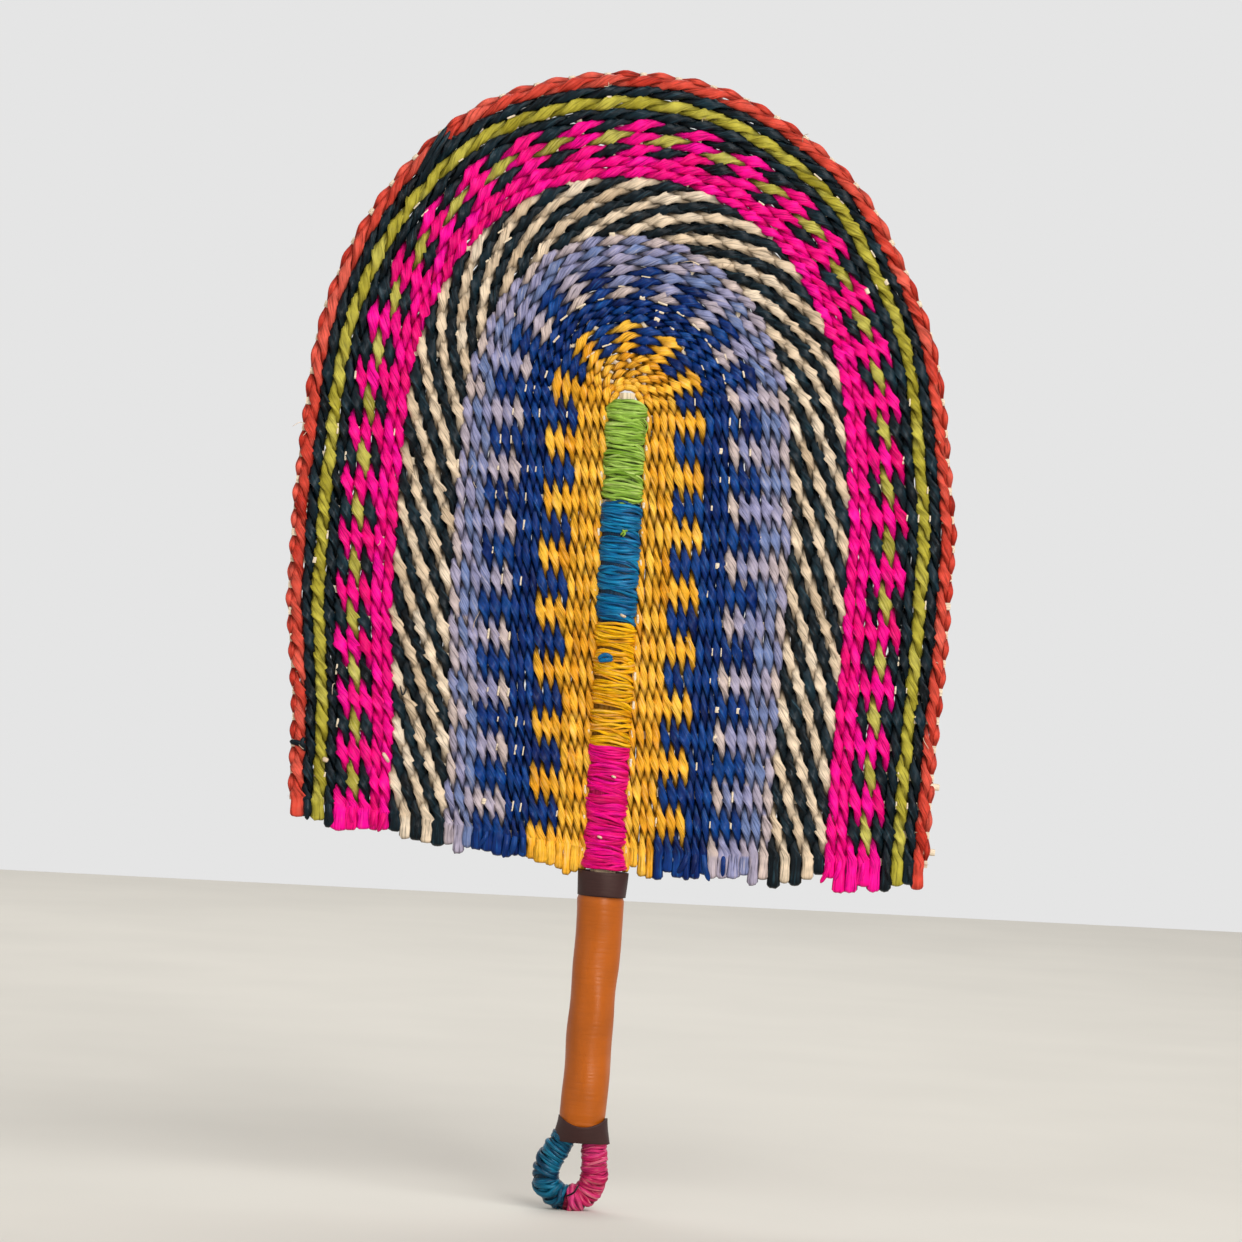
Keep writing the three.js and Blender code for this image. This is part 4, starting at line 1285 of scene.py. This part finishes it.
def bind_limb(context, name, dye, side, dice):
    """One limb's turns, pulled tight over a first layer in painted shade that only shows as a dark
    ground.
    """
    sizes = context.scene.fan_windings
    limb = LoopLimb(side)
    start = (KNEE_ABOVE_COLLAR_FOOT - 1.2 * MM) / math.cos(limb.splay)
    end = limb.straight + limb.bend * (math.pi / 2 + limb.splay + side * SEAM_TURN)
    inner = 1 - sizes.loop_radius / limb.bend
    edge_end = limb.straight + (end - limb.straight) * inner
    count = round((edge_end - start) / sizes.loop_pitch)
    steps, sides = 28, 8
    t = np.arange(count * steps + 1) / steps
    edge = start + t / count * (edge_end - start)
    lengths = np.minimum(edge, limb.straight) + np.maximum(edge - limb.straight, 0) / inner
    bundle = Bundle()
    for strand in range(sizes.loop_strands):
        lane = (strand - (sizes.loop_strands - 1) / 2) / sizes.loop_strands
        knots = np.linspace(0, count, count * 4)
        jitter = np.interp(t, knots, dice.normal(0, LOOP_STRAY, len(knots)))
        lift = np.interp(t, knots, dice.normal(0, LOOP_LIFT, len(knots)))
        local = np.gradient(lengths, t)
        x, z, out_x, out_z = limb.place(np.clip(lengths + (lane + jitter) * local, start, end))
        swell = LOOP_SWELL * np.sin(2 * np.pi * lengths / LOOP_SWELL_LENGTH)
        radius = sizes.loop_radius + lift + swell
        angle = 2 * np.pi * t
        away, behind = np.cos(angle), -np.sin(angle)
        centres = on_handle(x + out_x * away * radius, behind * radius, z + out_z * away * radius)
        spoke = unit(on_handle(out_x * away, behind, out_z * away))
        tangent = unit(np.gradient(centres, axis=0))
        across = unit(np.cross(tangent, spoke))
        through = np.cross(across, tangent)
        fan_out = np.clip(local / sizes.loop_pitch, 1, 1.6) ** 0.7
        uneven = 1 + np.interp(t, knots, dice.normal(0, LOOP_UNEVENNESS, len(knots)))
        width = sizes.loop_strand * fan_out * uneven
        tones = np.clip(np.interp(t, knots, dice.normal(0.5, BOUND_TONE, len(knots))), 0, 1)
        ridges = ridges_along(len(t), sides, LOOP_RIDGE, dice)
        rings = sweep(centres, across, through, width / 2, width * LOOP_DEPTH, sides, ridges)
        bundle.add(rings, tones, 0, start=dice.uniform(0, 1), openness=outer_side(sides))
    # the first layer, darkened with painted shade
    x, z, out_x, out_z = (part[:, None] for part in limb.place(np.linspace(start, end, 18)))
    around = np.arange(20) / 20 * 2 * np.pi
    away = np.cos(around) * (sizes.loop_radius - 0.4 * MM)
    behind = -np.sin(around) * (sizes.loop_radius - 0.4 * MM) * np.ones(x.shape)
    rings = on_handle(x + out_x * away, behind, z + out_z * away)
    bundle.add(rings, 0, 0, openness=UNDER_LOOP_OPENNESS)
    piece = bundle.finish(f"bound_{name}", [straw(context, dye)])
    dress(piece, name)


class FAN_OT_loop(bpy.types.Operator):
    """Bind the hanging loop, teal on its left half and pink on its right"""
    bl_idname = "fan.loop"
    bl_label = "Bind loop"

    def execute(self, context):
        dice = np.random.default_rng(23)
        bind_limb(context, "loop_winding_teal", "loop_teal", -1, dice)
        bind_limb(context, "loop_winding_pink", "loop_pink", 1, dice)
        cane = grown_wood("bent_cane", tuple(context.scene.fan_colours.cane), 2)
        finish_node(frame["nodes"]["loop_core"], cane)
        return {"FINISHED"}


# What sticks out of the weave

def on_front(x, z, lift):
    """A place in front of the panel, from its place right of the spine and above the neck."""
    return np.array([SPINE_X + x * MM, -lift, NECK_Z + z * MM])


SLIVERS = 150
# Every so many slivers one is the stubby end of a stake
STUBBY_EVERY = 12


def slivers(context, material):
    """Slivers of stake that show between the stitches, most of them in the blue and beside
    the lime, and at the spine's binding."""
    dice = np.random.default_rng(31)
    bundle = Bundle()
    places = stitch_places()
    names = [name for name, _, _ in rows()]
    blue = (names.index("yellow_blue_row_3"), names.index("lavender_blue_row_3"))
    beside_lime = (names.index("spotted_row_3"), names.index("outer_navy_row"))
    anywhere = (2, len(places) - 2)
    for number in range(SLIVERS):
        band = (blue, blue, beside_lime, blue, anywhere)[number % 5]
        row = int(dice.integers(*band))
        inner, outer = places[row], places[row + 1]
        if len(inner) != len(outer):
            continue
        stake = int(dice.integers(1, len(inner) - 1))
        x, z = (inner[stake] + outer[stake]) / 2
        away = unit(outer[stake] - inner[stake])
        stubby = number % STUBBY_EVERY == 0
        half = (1.4 if stubby else dice.uniform(1.2, 2.6)) * MM
        width = (2.2 if stubby else dice.uniform(0.6, 1.1)) * MM
        along = np.array([-away[1], 0, away[0]]) * half
        middle = np.array([x, -2.8 * MM, z])
        short_strand(bundle, [middle - along, middle, middle + along], width, 1.0 * MM, 0.5, 0,
                     tip=0.8)
    sizes = context.scene.fan_windings
    for height in STAKE_HEIGHTS:
        for side in (-1, 1):
            beside = sizes.spine_half_width + 1.2 * MM
            middle = np.array([SPINE_X + side * beside, -2.5 * MM, height])
            rise = np.array([0, 0, dice.uniform(1.2, 2.2) * MM])
            short_strand(bundle, [middle - rise, middle, middle + rise], 1.5 * MM, 1.4 * MM, 0.5,
                         0, tip=0.8)
    dress(bundle.finish("stake_slivers", [material]))


def hub_stitches(context):
    """The first few stitches, drawn in tight over the tip of the spine on both faces."""
    dice = np.random.default_rng(61)
    bundle = Bundle()
    half = 2.7 * MM
    first_tier = [(8.3 * MM, degrees) for degrees in (64, 90, 116)]
    first_tier += [(7.0 * MM, degrees) for degrees in (8, 34, 146, 172)]
    second_tier = [(10.6 * MM, degrees) for degrees in (18, 42, 66, 90, 114, 138, 162)]
    for facing in (FRONT, BACK):
        for reach, degrees in first_tier + second_tier:
            angle = math.radians(degrees + dice.normal(0, 3))
            outward = np.array([-math.cos(angle), 0, math.sin(angle)])
            along = np.array([math.sin(angle), 0, math.cos(angle)]) * half
            middle = np.array([SPINE_X, 0, DOME_Z]) + outward * reach + facing * 2.2 * MM
            sunk = facing * 2.0 * MM
            short_strand(bundle, [middle - along - sunk, middle, middle + along - sunk],
                         3.1 * MM, 1.9 * MM, dice.uniform(), 0, facing=facing, tip=0.2)
    dress(bundle.finish("hub_stitches", [straw(context, "golden")]))


def stake_ends(material):
    """The stakes' cut ends, which show past the rim between its lacing, and two of them that
    were left long at the right."""
    dice = np.random.default_rng(71)
    bundle = Bundle()
    width = row_width(RIM)
    path = ArchPath(crest_line(RIM))
    plane, _, outward = plane_axes(path, path.length_at(stake_stations(CROWN_AT_RIM)))
    for middle, away in zip(plane, outward):
        root = middle + away * (width / 2 - 2 * MM)
        tip = middle + away * (width / 2 + dice.uniform(0.5, 1.1) * MM)
        short_strand(bundle, [root, (root + tip) / 2, tip], 3.4 * MM, 2.0 * MM, 0.5, 0, tip=0.9)
    for height, reach in ((49, 4.2), (17.4, 3.6)):
        root, tip = on_front(153, height, 0), on_front(156.5 + reach, height - 0.4, 0)
        short_strand(bundle, [root, (root + tip) / 2, tip], 3.4 * MM, 1.8 * MM, 0.5, 0, tip=0.85)
    dress(bundle.finish("stake_ends_at_rim", [material]))


LAID_THICKNESS = 1.2 * MM


def lay_strands(context, name, dye, strands):
    """Free strands on the front. Each is its points right of the spine, above the neck and
    in front of the panel, and its width, all in millimetres."""
    bundle = Bundle()
    for number, (points, width) in enumerate(strands):
        places = [on_front(x, z, lift * MM) for x, z, lift in points]
        tone = 0.3 + 0.2 * (number % 3)
        short_strand(bundle, places, width * MM, LAID_THICKNESS, tone, 0)
    dress(bundle.finish(name, [straw(context, dye)]))


def stray_ends(context):
    """Ends of straw that were cut long at the feet, three dyes of them."""
    dice = np.random.default_rng(43)
    feet = [places[[0, -1]] for places in stitch_places()]
    for dye, slot, chosen in (
            ("royal_blue", "straw_royal_blue", (7, 8, 9, 11)),
            ("magenta", "straw_magenta", (21, 22, 24)),
            ("navy", "straw_navy", (26, 28))):
        bundle = Bundle()
        for row in chosen:
            for side in (0, 1):
                x, z = feet[row][side]
                lean = dice.normal(0, 2.2) * MM
                drop = (dice.uniform(8, 12) + 1.5 * side) * MM
                points = [np.array([x, -2.6 * MM, z]),
                          np.array([x + lean * 0.3, -3.6 * MM, z - drop * 0.5]),
                          np.array([x + lean, -2.2 * MM, z - drop])]
                short_strand(bundle, points, dice.uniform(2.0, 3.2) * MM, 1.3 * MM,
                             dice.uniform(), 0)
        dress(bundle.finish(f"stray_{dye}_ends", [straw(context, dye)]))


LOOSE_FIBRES = 26


def loose_fibres(context):
    """Hairs of straw that stand off the rim and the feet."""
    dice = np.random.default_rng(57)
    bundle = Bundle()
    places = stitch_places()
    for _ in range(LOOSE_FIBRES):
        row = places[-1] if dice.uniform() < 0.6 else places[int(dice.integers(6, len(places)))]
        x, z = row[int(dice.integers(0, len(row)))]
        start = np.array([x, -3.0 * MM, z])
        heading = unit(dice.normal(0, 1, 3) + np.array([0, -0.3, 0]))
        reach = dice.uniform(5, 11) * MM
        bend = dice.normal(0, 0.25, 3) * reach
        points = [start, start + heading * reach * 0.5 + bend, start + heading * reach]
        short_strand(bundle, points, 0.32 * MM, 0.3 * MM, dice.uniform(), 0, sides=5)
    dress(bundle.finish("loose_fibres", [straw(context, "cream")]))


class FAN_OT_details(bpy.types.Operator):
    """Add stake slivers, knots, cut tails and loose fibres"""
    bl_idname = "fan.details"
    bl_label = "Add loose details"

    def execute(self, context):
        culm = grown_wood("split_culm_end", tuple(context.scene.fan_colours.culm), 0)
        slivers(context, culm)
        hub_stitches(context)
        stake_ends(culm)
        stray_ends(context)
        loose_fibres(context)
        over_binding = 8.2
        lay_strands(context, "teal_knot_in_gold", "wrap_teal", [
            ([(-7.8, 102.6, 7.2), (-4.2, 104.6, over_binding), (-0.6, 103.4, 7.4)], 2.2),
            ([(-7.4, 101.6, 7.2), (-3.8, 102.2, over_binding + 0.5), (-0.4, 102.6, 7.4)], 2.2),
        ])
        lay_strands(context, "green_end_in_teal", "wrap_green", [
            ([(0.2, 162.8, 7.6), (1.9, 164.6, 8.4), (3.6, 165.2, 7.8)], 1.1),
            ([(1.0, 165.6, 7.6), (2.2, 163.6, 8.6), (1.2, 162.2, 7.8)], 1.0),
            ([(8.4, 219.8, 6.2), (10.6, 216.4, 6.0), (9.4, 211.6, 5.4)], 0.7),
        ])
        lay_strands(context, "bare_ends_in_the_binding", "cream", [
            ([(2.0, 124.6, 7.4), (3.4, 123.8, 8.2), (4.8, 123.4, 7.4)], 1.3),
            ([(-3.6, 17.0, 7.6), (-2.5, 16.7, 8.2), (-1.4, 16.2, 7.6)], 1.2),
            ([(1.8, 46.4, 7.4), (2.8, 46.1, 8.2), (3.8, 45.6, 7.4)], 1.1),
        ])
        lay_strands(context, "bare_ends_in_the_weave", "cream", [
            ([(-138.3, 47.6, 3.3), (-136.9, 47.2, 3.8), (-135.6, 46.6, 3.3)], 2.4),
            ([(-109.4, 52.0, 3.3), (-107.9, 50.0, 3.9), (-106.2, 47.4, 3.3)], 1.8),
        ])
        lay_strands(context, "cut_navy_tail", "navy", [
            ([(-107.0, 332.0, 3.2), (-101.5, 343.0, 4.3), (-94.0, 356.5, 4.6)], 2.8),
            ([(-105.0, 330.5, 3.2), (-99.0, 342.5, 4.5), (-92.2, 354.6, 4.4)], 2.6),
        ])
        lay_strands(context, "navy_knot_at_rim", "navy", [
            ([(-154.6, 55.2, 3.4), (-150.6, 54.6, 4.4), (-146.4, 53.4, 3.6)], 2.8),
            ([(-147.8, 57.6, 3.4), (-148.6, 54.4, 4.6), (-146.8, 50.8, 3.6)], 2.2),
            ([(-102.6, 84.6, 3.6), (-101.0, 80.4, 4.6), (-99.4, 83.8, 4.2)], 0.8),
            ([(-4.0, -151.0, 5.6), (-6.4, -155.0, 7.0), (-10.2, -157.0, 6.8)], 0.9)])
        return {"FINISHED"}


# Stage

class FAN_OT_stage(bpy.types.Operator):
    """Set the floor, the soft light and the camera"""
    bl_idname = "fan.stage"
    bl_label = "Set stage"

    def execute(self, context):
        stage, colours = context.scene.fan_stage, context.scene.fan_colours
        low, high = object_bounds()
        self.camera(context, stage, (low.z + high.z) / 2)
        self.floor(context, stage, colours, low.z)
        self.lights(context, stage, colours)
        context.scene.view_settings.view_transform = "Standard"
        return {"FINISHED"}

    # The picture's middle lies on the panel, to the right of the spine and above the neck
    AIM_RIGHT = 2.5 * MM
    FLOOR_HALF_WIDTH = 4.0
    FLOOR_NEAR = -2.6
    FLOOR_GAP = 0.2 * MM

    @staticmethod
    def camera(context, stage, middle):
        data = bpy.data.cameras.new("front_camera")
        data.sensor_width = 36
        data.lens = data.sensor_width * stage.camera_distance / stage.photo_width
        camera = bpy.data.objects.new("front_camera", data)
        context.scene.collection.objects.link(camera)
        aim = Vector((SPINE_X + FAN_OT_stage.AIM_RIGHT, 0, middle + stage.aim_rise))
        back = Vector((0, -math.cos(stage.camera_height), math.sin(stage.camera_height)))
        camera.location = aim + back * stage.camera_distance
        turned = (-back).to_track_quat("-Z", "Y").to_matrix()
        camera.rotation_euler = (turned @ Matrix.Rotation(stage.lean, 3, "Z")).to_euler()
        context.scene.camera = camera

    @staticmethod
    def floor(context, stage, colours, height):
        mesh = bpy.data.meshes.new("floor")
        wide, near, far = FAN_OT_stage.FLOOR_HALF_WIDTH, FAN_OT_stage.FLOOR_NEAR, stage.floor_back
        z = height - FAN_OT_stage.FLOOR_GAP
        mesh.from_pydata([(-wide, near, z), (wide, near, z), (wide, far, z), (-wide, far, z)], [],
                         [(0, 1, 2, 3)])
        piece = bpy.data.objects.new("floor", mesh)
        context.scene.collection.objects.link(piece)
        # matt paint on board: even, without gloss, a little cloudy where it was rolled on
        material, tree, shader = new_material("matt_painted_floor")
        place = node(tree, "ShaderNodeTexCoord").outputs["Object"]
        cloud = node(tree, "ShaderNodeTexNoise", Vector=place, Scale=6.0, Detail=2.0).outputs["Fac"]
        rgb = tuple(colours.floor)
        final = node(tree, "ShaderNodeValToRGB", i0=cloud,
                     stops=[(0.3, darker(rgb, 0.97)), (0.7, darker(rgb, 1.02))])
        tree.links.new(final.outputs[0], shader.inputs["Base Color"])
        shader.inputs["Roughness"].default_value = 0.85
        mesh.materials.append(material)
        piece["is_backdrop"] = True

    @staticmethod
    def lights(context, stage, colours):
        world = bpy.data.worlds.new("pale_room")
        world.use_nodes = True
        context.scene.world = world
        tree = world.node_tree
        tree.nodes.clear()
        # gloss mirrors the same pale wall that the camera sees
        path = node(tree, "ShaderNodeLightPath").outputs
        mirrored = node(tree, "ShaderNodeMath", {"operation": "MAXIMUM"},
                        i0=path["Is Glossy Ray"], i1=path["Is Transmission Ray"]).outputs[0]
        shown = node(tree, "ShaderNodeMath", {"operation": "MAXIMUM"},
                     i0=path["Is Camera Ray"], i1=mirrored).outputs[0]
        even = node(tree, "ShaderNodeBackground", Color=(1, 1, 1, 1), Strength=stage.sky)
        seen = node(tree, "ShaderNodeBackground", Color=(*colours.wall, 1), Strength=1.0)
        mixed = node(tree, "ShaderNodeMixShader", i0=shown, i1=even.outputs[0], i2=seen.outputs[0])
        node(tree, "ShaderNodeOutputWorld", Surface=mixed.outputs[0])
        # each light's place, aim, size, power and spread; the small one has a grid over it,
        # which keeps it off the floor before it
        for name, place, aim, size, power, spread in (
                ("key", (1.9, -2.6, 2.7), (0, 0, 0.15), 3.2, stage.key_power, 180),
                ("glint", (1.2, -2.9, 0.6), (0, 0, 0.1), 0.9, stage.glint_power, 40),
                ("fill", (-2.6, -2.4, 1.2), (0, 0, 0.15), 2.8, stage.fill_power, 180),
                ("floor", (-0.4, 1.7, 2.2), (-0.4, 1.7, 0), 2.4, stage.floor_power, 180)):
            data = bpy.data.lights.new(name, "AREA")
            data.size = size
            data.energy = power
            data.spread = math.radians(spread)
            light = bpy.data.objects.new(name, data)
            light.location = place
            towards = Vector(aim) - Vector(place)
            light.rotation_euler = towards.to_track_quat("-Z", "Y").to_euler()
            context.scene.collection.objects.link(light)


class FAN_PT_panel(bpy.types.Panel):
    """Sizes and colours of the straw fan"""
    bl_idname = "FAN_PT_panel"
    bl_label = "Straw fan"
    bl_space_type = "VIEW_3D"
    bl_region_type = "UI"
    bl_category = "Straw fan"

    def draw(self, context):
        for group in GROUPS:
            column = self.layout.column(align=True)
            column.label(text=group.bl_rna.description or group.__name__)
            for key in group.__annotations__:
                column.prop(getattr(context.scene, GROUPS[group]), key)
        for operator in OPERATORS:
            self.layout.operator(operator.bl_idname)


GROUPS = {
    WeaveSizes: "fan_weave",
    StakeSizes: "fan_stakes",
    WindingSizes: "fan_windings",
    LeatherSizes: "fan_leather",
    FanColours: "fan_colours",
    StageSizes: "fan_stage",
}
OPERATORS = [FAN_OT_stage, FAN_OT_rows, FAN_OT_stakes, FAN_OT_spine, FAN_OT_leather, FAN_OT_loop,
             FAN_OT_details]


def register():
    for group, place in GROUPS.items():
        bpy.utils.register_class(group)
        setattr(bpy.types.Scene, place, PointerProperty(type=group))
    for operator in OPERATORS:
        bpy.utils.register_class(operator)
    bpy.utils.register_class(FAN_PT_panel)


def unregister():
    bpy.utils.unregister_class(FAN_PT_panel)
    for operator in reversed(OPERATORS):
        bpy.utils.unregister_class(operator)
    for group, place in reversed(GROUPS.items()):
        delattr(bpy.types.Scene, place)
        bpy.utils.unregister_class(group)


def main():
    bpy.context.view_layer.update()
    register()
    bpy.ops.fan.stage()
    bpy.ops.fan.rows()
    bpy.ops.fan.stakes()
    bpy.ops.fan.spine()
    bpy.ops.fan.leather()
    bpy.ops.fan.loop()
    bpy.ops.fan.details()


if __name__ == "__main__":
    main()
